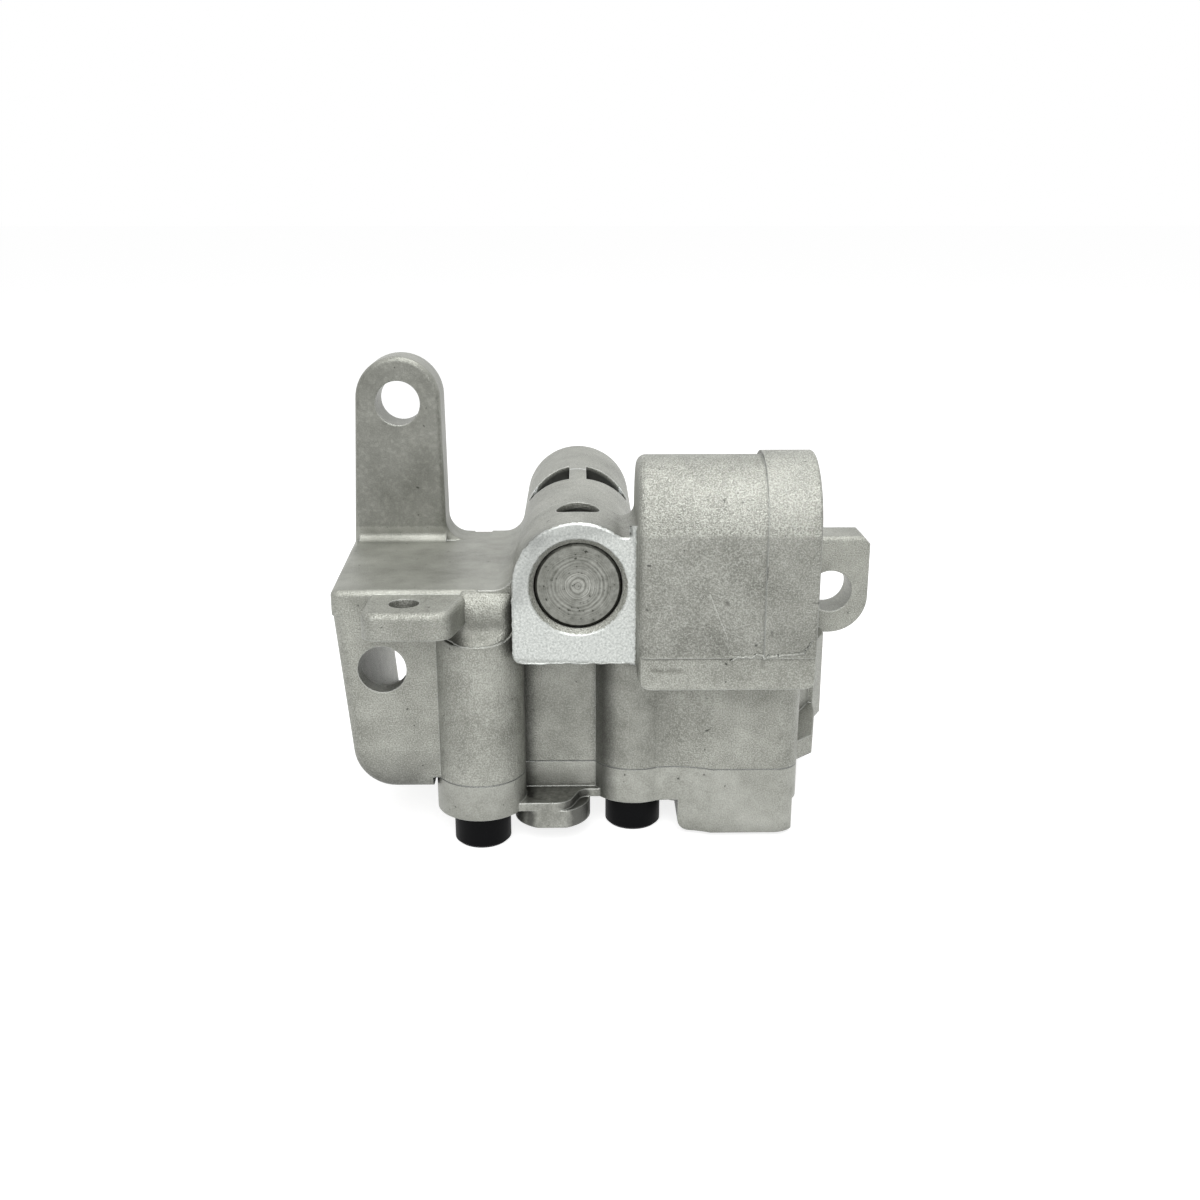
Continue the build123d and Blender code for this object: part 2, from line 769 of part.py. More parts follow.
with BuildPart() as pump_cover:
    with BuildSketch(Plane.XY.offset(plate_z)):
        add(joint_outline.sketch)
    extrude(amount=cover_plate)
    # Lip across the recess, and the boss under it.
    with BuildSketch(Plane.XY.offset(plate_z)) as lip:
        with BuildLine():
            Polyline(
                (left_column[0], lip_y),
                (lip_right_x - lip_cut, lip_y),
                (lip_right_x, lip_root_y),
                (right_column[0] - column_r / 2, lip_root_y),
                (right_column[0] - column_r / 2, recess_y + front_wall / 2),
                (left_column[0], recess_y + front_wall / 2),
                close=True,
            )
        make_face()
        fillet(nearest(lip.vertices(), lip_right_x - lip_cut, lip_y), lip_front_r)
        fillet(nearest(lip.vertices(), lip_right_x, lip_root_y), lip_root_r)
    extrude(amount=cover_lip)
    with BuildSketch(Plane.XY.offset(plate_z)) as lobe:
        with Locations(lobe_place):
            Circle(lobe_boss_r)
        with Locations((lobe_place[0], lip_y)):
            Rectangle(
                2 * lobe_boss_r,
                lobe_boss_r,
                align=(Align.CENTER, Align.MAX),
                mode=Mode.SUBTRACT,
            )
    extrude(amount=-lobe_boss_depth)
    # Drive boss and the block beside it, down to the resting plane.
    with BuildSketch():
        Circle(pilot_bore_r + drive_boss_wall)
    extrude(amount=plate_z)
    boss_rim = pump_cover.edges().filter_by(GeomType.CIRCLE).group_by(Axis.Z)[0]
    chamfer(boss_rim, drive_boss_chamfer)
    add(cover_block.part)
    with BuildSketch():
        Circle(pilot_bore_r)
    extrude(amount=pilot_depth, mode=Mode.SUBTRACT)
    with BuildSketch():
        Circle(bush_bore_r)
    extrude(amount=joint_z, mode=Mode.SUBTRACT)
    with BuildSketch(Plane.XY.offset(joint_z)):
        with Locations((driven_x, 0)):
            Circle(idler_r + running_clearance)
    extrude(amount=-idler_cover_depth - idler_bottom_gap, mode=Mode.SUBTRACT)
    with BuildSketch(Plane.XY.offset(joint_z)):
        with Locations(*screw_places):
            Circle(screw_r + screw_clearance)
    extrude(amount=-cover_plate, mode=Mode.SUBTRACT)
    with BuildSketch(Plane.XY.offset(joint_z)):
        with Locations(*dowel_places):
            Circle(dowel_r)
    extrude(amount=-dowel_length / 2, mode=Mode.SUBTRACT)

pump_cover.part.label = "pump_cover"
export_step(pump_cover.part, "parts/pump_cover.step")

# ---- Cover screws and dowels ----------------------------------------------------
head_foot_z = plate_z - screw_head_height
with BuildPart() as cover_screws:
    with BuildSketch(Plane.XY.offset(head_foot_z)):
        with Locations(*screw_places):
            Circle(screw_head_r)
    extrude(amount=screw_head_height)
    chamfer(cover_screws.edges().group_by(Axis.Z)[0], edge_break)
    with BuildSketch(Plane.XY.offset(plate_z)):
        with Locations(*screw_places):
            Circle(screw_r)
    extrude(amount=cover_plate + screw_depth_in_body)
    with BuildSketch(Plane.XY.offset(head_foot_z)):
        with Locations(*screw_places):
            RegularPolygon(socket_width / 2, 6, major_radius=False)
    extrude(amount=socket_depth, mode=Mode.SUBTRACT)
cover_screws.part.label = "cover_screws"
export_step(cover_screws.part, "parts/cover_screws.step")

with BuildPart() as cover_dowels:
    with BuildSketch(Plane.XY.offset(joint_z - dowel_length / 2)):
        with Locations(*dowel_places):
            Circle(dowel_r)
    extrude(amount=dowel_length)
    chamfer(cover_dowels.edges().filter_by(GeomType.CIRCLE), edge_break)
cover_dowels.part.label = "cover_dowels"
export_step(cover_dowels.part, "parts/cover_dowels.step")


# ---- Gears ----------------------------------------------------------------------
def involute(angle):
    """Involute function of a pressure angle, in radians."""
    return tan(angle) - angle


def half_tooth(r):
    """Half the angle that a tooth takes up at a radius, outside the base circle."""
    at_pitch = pi / (2 * tooth_count) - gear_backlash / (4 * pitch_r)
    return at_pitch + involute(radians(pressure_angle)) - involute(acos(base_r / r))


def on_circle(r, angle):
    """Point on a circle about the gear's axis."""
    return (r * cos(angle), r * sin(angle))


flank_r = (base_r + tip_r) / 2
tooth_foot_r = root_r - 0.5
with BuildSketch() as tooth:
    with BuildLine():
        for side in (1, -1):
            ThreePointArc(
                on_circle(base_r, side * half_tooth(base_r)),
                on_circle(flank_r, side * half_tooth(flank_r)),
                on_circle(tip_r, side * half_tooth(tip_r)),
            )
            Line(
                on_circle(tooth_foot_r, side * half_tooth(base_r)),
                on_circle(base_r, side * half_tooth(base_r)),
            )
        ThreePointArc(
            on_circle(tip_r, half_tooth(tip_r)),
            (tip_r, 0),
            on_circle(tip_r, -half_tooth(tip_r)),
        )
        Line(
            on_circle(tooth_foot_r, half_tooth(base_r)),
            on_circle(tooth_foot_r, -half_tooth(base_r)),
        )
    make_face()

with BuildSketch() as gear_profile:
    Circle(root_r)
    with PolarLocations(0, tooth_count, start_angle=180):
        add(tooth.sketch)

ring_recess_r = shaft_r - snap_ring_bite + snap_ring_width + snap_ring_gap
ring_recess = snap_ring_sink + snap_ring_thickness
with BuildPart() as drive_gear:
    with BuildSketch(Plane.XY.offset(gear_z)):
        add(gear_profile.sketch)
        Circle(shaft_r, mode=Mode.SUBTRACT)
    extrude(amount=gear_height)
    for recess_z in (gear_z, gear_z + gear_height - ring_recess):
        with BuildSketch(Plane.XY.offset(recess_z)):
            Circle(ring_recess_r)
        extrude(amount=ring_recess, mode=Mode.SUBTRACT)
    with BuildSketch(Plane.XY.offset(gear_z)):
        Rectangle(
            shaft_r + key_depth_in_gear + key_top_gap,
            key_width,
            align=(Align.MAX, Align.CENTER),
        )
    extrude(amount=gear_height, mode=Mode.SUBTRACT)
drive_gear.part.label = "drive_gear"
export_step(drive_gear.part, "parts/drive_gear.step")

driven_bush_r = idler_r + running_clearance + driven_bush_wall
with BuildPart() as driven_gear:
    with BuildSketch(Plane.XY.offset(gear_z)):
        with Locations((driven_x, 0)):
            add(gear_profile.sketch)
            Circle(driven_bush_r, mode=Mode.SUBTRACT)
    extrude(amount=gear_height)
driven_gear.part.label = "driven_gear"
export_step(driven_gear.part, "parts/driven_gear.step")

# ---- Shafts, bushes, key and snap rings -----------------------------------------
shaft_foot_z = pilot_depth
shaft_length = chamber_top_z + upper_bush_length - shaft_top_gap - shaft_foot_z
key_length = gear_height - 2 * ring_recess
ring_levels = (gear_z + snap_ring_sink, gear_z + gear_height - ring_recess)
with BuildPart() as drive_shaft:
    with BuildSketch(Plane.XY.offset(shaft_foot_z)):
        Circle(shaft_r)
    extrude(amount=shaft_length)
    chamfer(drive_shaft.edges().filter_by(GeomType.CIRCLE), shaft_chamfer)
    with BuildSketch(Plane.XY.offset(shaft_foot_z)):
        Rectangle(2 * shaft_r + 1.0, drive_slot_width)
    extrude(amount=drive_slot_depth, mode=Mode.SUBTRACT)
    for ring_z in ring_levels:
        with BuildSketch(Plane.XY.offset(ring_z)):
            Circle(shaft_r + 1.0)
            Circle(shaft_r - snap_ring_bite, mode=Mode.SUBTRACT)
        extrude(amount=snap_ring_thickness, mode=Mode.SUBTRACT)
    with BuildSketch(Plane.XY.offset(gear_z + ring_recess)):
        with Locations((key_depth_in_shaft - shaft_r, 0)):
            Rectangle(
                2 * key_depth_in_shaft, key_width, align=(Align.MAX, Align.CENTER)
            )
    extrude(amount=key_length, mode=Mode.SUBTRACT)
drive_shaft.part.label = "drive_shaft"
export_step(drive_shaft.part, "parts/drive_shaft.step")

with BuildPart() as drive_gear_key:
    with BuildSketch(Plane.XY.offset(gear_z + ring_recess)):
        with Locations((key_depth_in_shaft - shaft_r, 0)):
            Rectangle(
                key_depth_in_shaft + key_depth_in_gear,
                key_width,
                align=(Align.MAX, Align.CENTER),
            )
    extrude(amount=key_length)
drive_gear_key.part.label = "drive_gear_key"
export_step(drive_gear_key.part, "parts/drive_gear_key.step")

with BuildPart() as gear_snap_rings:
    for ring_z in ring_levels:
        with BuildSketch(Plane.XY.offset(ring_z)):
            Circle(shaft_r - snap_ring_bite + snap_ring_width)
            Circle(shaft_r - snap_ring_bite, mode=Mode.SUBTRACT)
            Rectangle(
                2 * shaft_r,
                snap_ring_opening,
                align=(Align.MIN, Align.CENTER),
                mode=Mode.SUBTRACT,
            )
        extrude(amount=snap_ring_thickness)
gear_snap_rings.part.label = "gear_snap_rings"
export_step(gear_snap_rings.part, "parts/gear_snap_rings.step")

with BuildPart() as drive_shaft_upper_bush:
    with BuildSketch(Plane.XY.offset(chamber_top_z)):
        Circle(bush_bore_r)
        Circle(shaft_r + running_clearance, mode=Mode.SUBTRACT)
    extrude(amount=upper_bush_length)
drive_shaft_upper_bush.part.label = "drive_shaft_upper_bush"
export_step(drive_shaft_upper_bush.part, "parts/drive_shaft_upper_bush.step")

with BuildPart() as drive_shaft_lower_bush:
    with BuildSketch(Plane.XY.offset(pilot_depth)):
        Circle(bush_bore_r)
        Circle(shaft_r + running_clearance, mode=Mode.SUBTRACT)
    extrude(amount=joint_z - pilot_depth)
drive_shaft_lower_bush.part.label = "drive_shaft_lower_bush"
export_step(drive_shaft_lower_bush.part, "parts/drive_shaft_lower_bush.step")

with BuildPart() as idler_pin:
    with BuildSketch(Plane.XY.offset(joint_z - idler_cover_depth)):
        with Locations((driven_x, 0)):
            Circle(idler_r)
    extrude(amount=chamber_top_z + upper_bush_length - joint_z + idler_cover_depth)
    chamfer(idler_pin.edges().group_by(Axis.Z)[0], shaft_chamfer)
idler_pin.part.label = "idler_pin"
export_step(idler_pin.part, "parts/idler_pin.step")

with BuildPart() as driven_gear_bush:
    with BuildSketch(Plane.XY.offset(gear_z)):
        with Locations((driven_x, 0)):
            Circle(driven_bush_r)
            Circle(idler_r + running_clearance, mode=Mode.SUBTRACT)
    extrude(amount=gear_height)
driven_gear_bush.part.label = "driven_gear_bush"
export_step(driven_gear_bush.part, "parts/driven_gear_bush.step")

# ---- Relief valve ---------------------------------------------------------------
valve_seat = boss_y + valve_seat_y
piston_front = valve_seat - piston_length
cup_floor = valve_seat - piston_crown
plug_back = boss_y + plug_sink + plug_length
piston_r = valve_bore_r - running_clearance
with BuildPart() as relief_piston:
    with BuildSketch(wall_plane(piston_front)):
        with Locations((valve_x, valve_z)):
            Circle(piston_r)
    extrude(amount=-piston_length)
    chamfer(relief_piston.edges().filter_by(GeomType.CIRCLE), piston_groove)
    with BuildSketch(wall_plane(piston_front)):
        with Locations((valve_x, valve_z)):
            Circle(piston_r - piston_wall)
    extrude(amount=piston_crown - piston_length, mode=Mode.SUBTRACT)
    for groove in (1, 2, 3):
        with BuildSketch(wall_plane(piston_front + piston_groove_pitch * groove)):
            with Locations((valve_x, valve_z)):
                Circle(piston_r + 1.0)
                Circle(piston_r - piston_groove, mode=Mode.SUBTRACT)
        extrude(amount=-2 * piston_groove, mode=Mode.SUBTRACT)
relief_piston.part.label = "relief_piston"
export_step(relief_piston.part, "parts/relief_piston.step")

with BuildPart() as relief_plug:
    with BuildSketch(wall_plane(boss_y + plug_sink)):
        with Locations((valve_x, valve_z)):
            Circle(valve_bore_r - plug_gap)
    extrude(amount=-plug_length)
    chamfer(relief_plug.edges().filter_by(GeomType.CIRCLE), plug_chamfer)
    with BuildSketch(Plane.XY.offset(valve_z + plug_pin_reach)):
        with Locations((valve_x, plug_pin_y)):
            Circle(plug_pin_r)
    extrude(amount=-plug_pin_reach - valve_bore_r, mode=Mode.SUBTRACT)
relief_plug.part.label = "relief_plug"
export_step(relief_plug.part, "parts/relief_plug.step")

with BuildPart() as relief_plug_pin:
    with BuildSketch(Plane.XY.offset(valve_z - boss_drop + plug_pin_sink)):
        with Locations((valve_x, plug_pin_y)):
            Circle(plug_pin_r)
    extrude(amount=boss_drop + plug_pin_reach - plug_pin_sink)
    chamfer(relief_plug_pin.edges().group_by(Axis.Z)[0], plug_pin_chamfer)
relief_plug_pin.part.label = "relief_plug_pin"
export_step(relief_plug_pin.part, "parts/relief_plug_pin.step")

with BuildPart() as relief_spring_shim:
    with BuildSketch(wall_plane(plug_back)):
        with Locations((valve_x, valve_z)):
            Circle(valve_bore_r - plug_gap)
            Circle(shim_hole_r, mode=Mode.SUBTRACT)
    extrude(amount=-shim_thickness)
relief_spring_shim.part.label = "relief_spring_shim"
export_step(relief_spring_shim.part, "parts/relief_spring_shim.step")

spring_r = piston_r - piston_wall - spring_side_gap - spring_wire_r
spring_front = plug_back + shim_thickness + spring_wire_r
spring_length = cup_floor - spring_wire_r - spring_front
with BuildPart() as relief_spring:
    with BuildLine():
        coil = Helix(
            spring_length / spring_turns,
            spring_length,
            spring_r,
            center=(valve_x, spring_front, valve_z),
            direction=(0, 1, 0),
        )
    with BuildSketch(Plane(origin=coil @ 0, z_dir=coil % 0)):
        Circle(spring_wire_r)
    sweep(path=coil)
relief_spring.part.label = "relief_spring"
export_step(relief_spring.part, "parts/relief_spring.step")

# ---- Sealing rings --------------------------------------------------------------
with BuildPart() as suction_o_ring:
    with Locations(Plane.YZ.offset(arch_right_x - suction_ring_depth)):
        with Locations(arch_axis):
            Torus(socket_bore_r + suction_ring_r, suction_ring_r)
suction_o_ring.part.label = "suction_o_ring"
export_step(suction_o_ring.part, "parts/suction_o_ring.step")

with BuildPart() as outlet_o_ring:
    with Locations(wall_plane(mount_y - outlet_ring_r)):
        with Locations((driven_x / 2, outlet_z)):
            Torus(outlet_r + outlet_ring_gap + outlet_ring_r, outlet_ring_r)
outlet_o_ring.part.label = "outlet_o_ring"
export_step(outlet_o_ring.part, "parts/outlet_o_ring.step")
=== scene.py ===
# %% [markdown]
# # Dressing an engine oil pump
# The pump arrives as exact CAD solids that already fit each other. Blender's job here is
# the surface: what each piece is made of, how it was made, and what light does on it.
# We load the solids first and keep their box, because nothing may grow past it.

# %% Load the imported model
import math

import bmesh
import bpy
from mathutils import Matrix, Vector, noise


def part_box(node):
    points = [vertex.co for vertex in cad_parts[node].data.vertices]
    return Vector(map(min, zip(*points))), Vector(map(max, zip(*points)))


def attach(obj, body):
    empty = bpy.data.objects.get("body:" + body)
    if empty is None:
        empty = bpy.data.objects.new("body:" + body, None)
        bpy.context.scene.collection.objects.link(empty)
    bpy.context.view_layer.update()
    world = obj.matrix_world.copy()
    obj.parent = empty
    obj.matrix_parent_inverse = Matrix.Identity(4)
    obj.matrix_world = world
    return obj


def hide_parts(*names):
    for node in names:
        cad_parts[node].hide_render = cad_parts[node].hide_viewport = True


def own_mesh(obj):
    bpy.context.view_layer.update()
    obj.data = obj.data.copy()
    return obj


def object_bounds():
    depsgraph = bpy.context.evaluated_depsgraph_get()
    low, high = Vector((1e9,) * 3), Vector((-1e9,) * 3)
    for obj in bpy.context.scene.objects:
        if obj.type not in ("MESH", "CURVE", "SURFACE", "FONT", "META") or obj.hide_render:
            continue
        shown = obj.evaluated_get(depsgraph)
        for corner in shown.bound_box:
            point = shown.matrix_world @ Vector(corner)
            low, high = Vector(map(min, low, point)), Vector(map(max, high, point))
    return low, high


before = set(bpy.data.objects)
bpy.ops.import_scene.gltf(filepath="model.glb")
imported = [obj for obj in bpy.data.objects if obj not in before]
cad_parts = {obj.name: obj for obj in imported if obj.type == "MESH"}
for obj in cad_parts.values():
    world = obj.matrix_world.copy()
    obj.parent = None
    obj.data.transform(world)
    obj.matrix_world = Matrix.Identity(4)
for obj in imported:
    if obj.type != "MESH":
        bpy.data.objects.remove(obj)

cad_low, cad_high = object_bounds()
print("solids:", sorted(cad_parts))

# %% [markdown]
# Blender works in metres and a pump maker in millimetres. A small constant keeps the
# numbers below readable as the sizes on a workshop drawing.

# %% Units and colours
MM = 0.001


def paint(code):
    """An sRGB hex colour as the linear colour that shaders use."""
    channels = [int(code[i : i + 2], 16) / 255 for i in (1, 3, 5)]
    linear = [c / 12.92 if c <= 0.04045 else ((c + 0.055) / 1.055) ** 2.4 for c in channels]
    return (*linear, 1.0)


def middle(node):
    """Centre of a CAD node's box, in metres."""
    low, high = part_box(node)
    return (Vector(low) + Vector(high)) / 2


print("pump size in mm:", [round((b - a) / MM, 1) for a, b in zip(cad_low, cad_high)])

# %% [markdown]
# Shader trees grow quickly. One helper adds a node, sets its options and either links or
# fills its inputs, so each material below reads as a short recipe.


# %% One helper for shader nodes
def add(tree, kind, options=None, inputs=None):
    """Adds a node. Inputs take a number, a colour or another node's output."""
    node = tree.nodes.new(kind)
    for name, value in (options or {}).items():
        setattr(node, name, value)
    for name, value in (inputs or {}).items():
        if isinstance(value, bpy.types.NodeSocket):
            tree.links.new(value, node.inputs[name])
        else:
            node.inputs[name].default_value = value
    return node


def new_material(name):
    """An empty material with a principled shader, and its tree and shader."""
    material = bpy.data.materials.new(name)
    material.use_nodes = True
    tree = material.node_tree
    tree.nodes.clear()
    shader = add(tree, "ShaderNodeBsdfPrincipled")
    add(tree, "ShaderNodeOutputMaterial", inputs={"Surface": shader.outputs[0]})
    return material, tree, shader


print("helpers ready")

# %% [markdown]
# ## Where the machined places are
# A casting is rough all over, and a mill then cleans the few faces that must be flat. The
# plug sits 1 mm inside its bore and the outlet's ring seal ends at the mounting face, so
# their boxes give the places of those faces without copying any size from the drawing.
# The suction arch stands 4.3 mm in front of the boss.

# %% Places taken from the solids
PLUG_INSET, ARCH_REACH = 1.0, 4.3
plug_low, plug_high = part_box("relief_plug")
plug_middle = middle("relief_plug")
plug_radius = (plug_high[0] - plug_low[0]) / 2
boss_face_y = plug_low[1] / MM - PLUG_INSET
arch_front_y = boss_face_y - ARCH_REACH
mount_face_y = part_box("outlet_o_ring")[1][1] / MM
joint_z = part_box("pump_cover")[1][2] / MM
print("in mm: boss face at y", round(boss_face_y, 2), "and arch front at y", round(arch_front_y, 2))
print("mounting face at y", round(mount_face_y, 2), "and joint at z", round(joint_z, 2))

# %% [markdown]
# A finish that changes from place to place needs a mask. This one is 1 inside a box and
# falls to 0 at its faces over a short run, the feather. A feather near zero gives a cut
# edge, and one of a few millimetres gives a change of tone that nobody can point at.


# %% A box mask
def inside_box(tree, place, low, high, feather=0.02):
    """1 inside the box between two corners in millimetres, 0 outside it."""
    centre = [(a + b) / 2 * MM for a, b in zip(low, high)]
    half = [(b - a) / 2 * MM for a, b in zip(low, high)]
    moved = add(tree, "ShaderNodeVectorMath", {"operation": "SUBTRACT"}, {0: place, 1: centre})
    away = add(tree, "ShaderNodeVectorMath", {"operation": "ABSOLUTE"}, {0: moved.outputs[0]})
    inner = add(tree, "ShaderNodeVectorMath", {"operation": "SUBTRACT"},
                {0: half, 1: away.outputs[0]})
    axes = add(tree, "ShaderNodeSeparateXYZ", inputs={0: inner.outputs[0]})
    least = axes.outputs[0]
    for other in axes.outputs[1:]:
        least = add(tree, "ShaderNodeMath", {"operation": "MINIMUM"},
                    {0: least, 1: other}).outputs[0]
    mask = add(tree, "ShaderNodeMapRange", inputs={"Value": least, "From Max": feather * MM})
    return mask.outputs[0]


print("box mask ready")

# %% [markdown]
# Handling leaves marks that are thin lines: a scratch, a nick, the seam between two parts
# of the die. The mask for those measures how far a point is from a straight line between
# two ends, and is 1 on that line. The same mask with a large width gives a soft glow.


# %% A line mask
def near_line(tree, place, start, end, width):
    """1 on the line between two points in millimetres, 0 at width away from it."""
    run = (Vector(end) - Vector(start)) * MM
    first = Vector(start) * MM
    moved = add(tree, "ShaderNodeVectorMath", {"operation": "SUBTRACT"}, {0: place, 1: first})
    along = add(tree, "ShaderNodeVectorMath", {"operation": "DOT_PRODUCT"},
                {0: moved.outputs[0], 1: run / run.length_squared})
    share = add(tree, "ShaderNodeClamp", inputs={"Value": along.outputs["Value"]})
    nearest = add(tree, "ShaderNodeVectorMath", {"operation": "SCALE"},
                  {0: run, "Scale": share.outputs[0]})
    gap = add(tree, "ShaderNodeVectorMath", {"operation": "DISTANCE"},
              {0: moved.outputs[0], 1: nearest.outputs[0]})
    mask = add(tree, "ShaderNodeMapRange",
               inputs={"Value": gap.outputs["Value"], "From Min": width * MM, "From Max": 0.0})
    return mask.outputs[0]


print("line mask ready")

# %% [markdown]
# Borders on a casting are never straight. A mask that reads a place which noise has moved
# a little gets a ragged border for free.


# %% A shaken place
def shaken(tree, place, shake, reach):
    """The place, moved to and fro by a coloured noise, over a reach in millimetres."""
    offset = add(tree, "ShaderNodeVectorMath", {"operation": "SUBTRACT"},
                 {0: shake.outputs["Color"], 1: (0.5, 0.5, 0.5)})
    moved = add(tree, "ShaderNodeVectorMath", {"operation": "MULTIPLY_ADD"},
                {0: offset.outputs[0], 1: (reach * MM,) * 3, 2: place})
    return moved.outputs[0]


print("shaken place ready")

# %% [markdown]
# Hands and tools rub the edges of a casting bright, and dirt stays in the corners that no
# brush reaches; that darkening of the corners is also painted shade. A Bevel node gives the
# normal that a rounded edge would have. Where it turns away from the true normal there is
# an edge. A corner is where the surface sees little of the world within 5 mm. Both need no
# extra mesh and follow every shape.

# %% Rubbed edges, and dirt and painted shade in corners
EDGE_RADIUS, CORNER_REACH = 0.45, 5.0
EDGE_STARTS, EDGE_FULL = 0.99, 0.8
OPEN_FACE, DEEP_CORNER, MOST_DIRT_AND_SHADE = 0.85, 0.15, 0.75


def edges_and_corners(tree):
    """The rounded normal, and the shares of rubbed edge and of dirt and painted shade in corners.
    """
    rounded = add(tree, "ShaderNodeBevel", {"samples": 6}, {"Radius": EDGE_RADIUS * MM}).outputs[0]
    true = add(tree, "ShaderNodeNewGeometry").outputs["True Normal"]
    turn = add(tree, "ShaderNodeVectorMath", {"operation": "DOT_PRODUCT"}, {0: rounded, 1: true})
    edge = add(tree, "ShaderNodeMapRange",
               inputs={"Value": turn.outputs["Value"], "From Min": EDGE_STARTS,
                       "From Max": EDGE_FULL})
    corner = add(tree, "ShaderNodeAmbientOcclusion", {"samples": 8},
                 {"Distance": CORNER_REACH * MM})
    # Corners are painted darker, as dirt and as painted shade.
    corner_dirt_and_shade = add(tree, "ShaderNodeMapRange",
               inputs={"Value": corner.outputs["AO"], "From Min": OPEN_FACE,
                       "From Max": DEEP_CORNER, "To Max": MOST_DIRT_AND_SHADE})
    return rounded, edge.outputs[0], corner_dirt_and_shade.outputs[0]


print("edges are rounded by", EDGE_RADIUS, "mm")

# %% [markdown]
# ## Cast aluminium
# The housing is die-cast aluminium, an alloy with silicon, blasted with shot. To the eye
# that is a grey with a little green in it. Three patterns lie over each other: clouds of
# tone 9 mm wide, stains of 2 mm, and the dents of the shot, which are 0.25 mm across. Each
# dent sparkles where it catches the lamp, and its colour has a painted highlight on one
# side and painted shade on the other. Some are open pores and read as dark specks.
# Noise makes all of them, because no two places on a blasted casting are alike.

# %% Sizes of the casting's patterns
# Size in mm, detail and roughness of each noise.
PATTERNS = {
    "clouds": (9.0, 4.0, 0.5),
    "stains": (2.2, 4.0, 0.6),
    "grain": (0.25, 2.0, 0.55),  # dents of the shot
    "pores": (1.1, 1.0, 0.5),
    "shake": (0.8, 3.0, 0.5),  # moves the borders of zones and marks
    "cut": (0.4, 5.0, 0.7),  # streaks of the mill
}
# How far a border is moved, in mm: zones are ragged and marks are nearly straight.
RAGGED_REACH, NEARLY_REACH = 0.9, 0.25
print("patterns in mm:", {name: size for name, (size, _, _) in PATTERNS.items()})

# %% [markdown]
# A zone is a box with a feather and two amounts: how much darker the metal is there, and
# how much of the grain is gone, or added where the amount is below zero. Faces that a
# polished die made are smooth and a little darker. Hollows that the blasting never reached
# have less grain, and their darkening is painted shade; so is the darkening of several
# other faces below. Zones add up where they overlap. The joint is milled and has a cut
# edge, so its zone reads the true place. All others read the shaken one.

# %% Zones that add up
CUT_EDGE = 0.1


def add_zones(tree, place, ragged, zones):
    """How much darker the skin is, and how coarse its grain is."""
    darker, smoother = 0.0, 0.0
    for low, high, feather, dim, sleek in zones:
        mask = inside_box(tree, place if feather < CUT_EDGE else ragged, low, high, feather)
        darker = add(tree, "ShaderNodeMath", {"operation": "MULTIPLY_ADD"},
                     {0: mask, 1: dim, 2: darker}).outputs[0]
        smoother = add(tree, "ShaderNodeMath", {"operation": "MULTIPLY_ADD"},
                       {0: mask, 1: sleek, 2: smoother}).outputs[0]
    coarse = add(tree, "ShaderNodeMath", {"operation": "SUBTRACT"}, {0: 1.0, 1: smoother})
    return darker, coarse.outputs[0]


print("zones with a feather under", CUT_EDGE, "mm read the true place")

# %% [markdown]
# A milled face is brighter than the skin. The teeth of the mill leave streaks 0.4 mm wide,
# and they tear small chips out of the rim. The chips are where the shake is strong and the
# face has an edge, so no chip lies in the middle of the face.


# %% Milled faces
def mill_faces(tree, ragged, pattern, edge, boxes):
    """The milled share, its streaked tone, and the share of chips along its rims."""
    milled = 0.0
    for low, high in boxes:
        mask = inside_box(tree, ragged, low, high)
        milled = add(tree, "ShaderNodeMath", {"operation": "MAXIMUM"},
                     {0: mask, 1: milled}).outputs[0]
    streak = add(tree, "ShaderNodeMapRange",
                 inputs={"Value": pattern["cut"].outputs[0], "From Min": 0.28, "From Max": 0.66})
    bright = add(tree, "ShaderNodeMix", {"data_type": "RGBA"},
                 {0: streak.outputs[0], 6: paint("#8f9390"), 7: paint("#d6d9d5")}).outputs[2]
    torn = add(tree, "ShaderNodeMapRange",
               inputs={"Value": pattern["shake"].outputs[0], "From Min": 0.56, "From Max": 0.62})
    chip = add(tree, "ShaderNodeMath", {"operation": "MULTIPLY"}, {0: torn.outputs[0], 1: edge})
    chip = add(tree, "ShaderNodeMath", {"operation": "MULTIPLY"}, {0: chip.outputs[0], 1: milled})
    return milled, bright, chip.outputs[0]


print("milled faces ready")

# %% [markdown]
# The blasted skin has four layers: the light tone in clouds and stains, a painted highlight
# on the lit side of the dents, painted shade on their dark side, and the pores. Noise keeps
# near its middle value, so each Map Range stretches only the part of it that is really used.

# %% The blasted skin
DENT_LIGHT_SHARE = 0.5


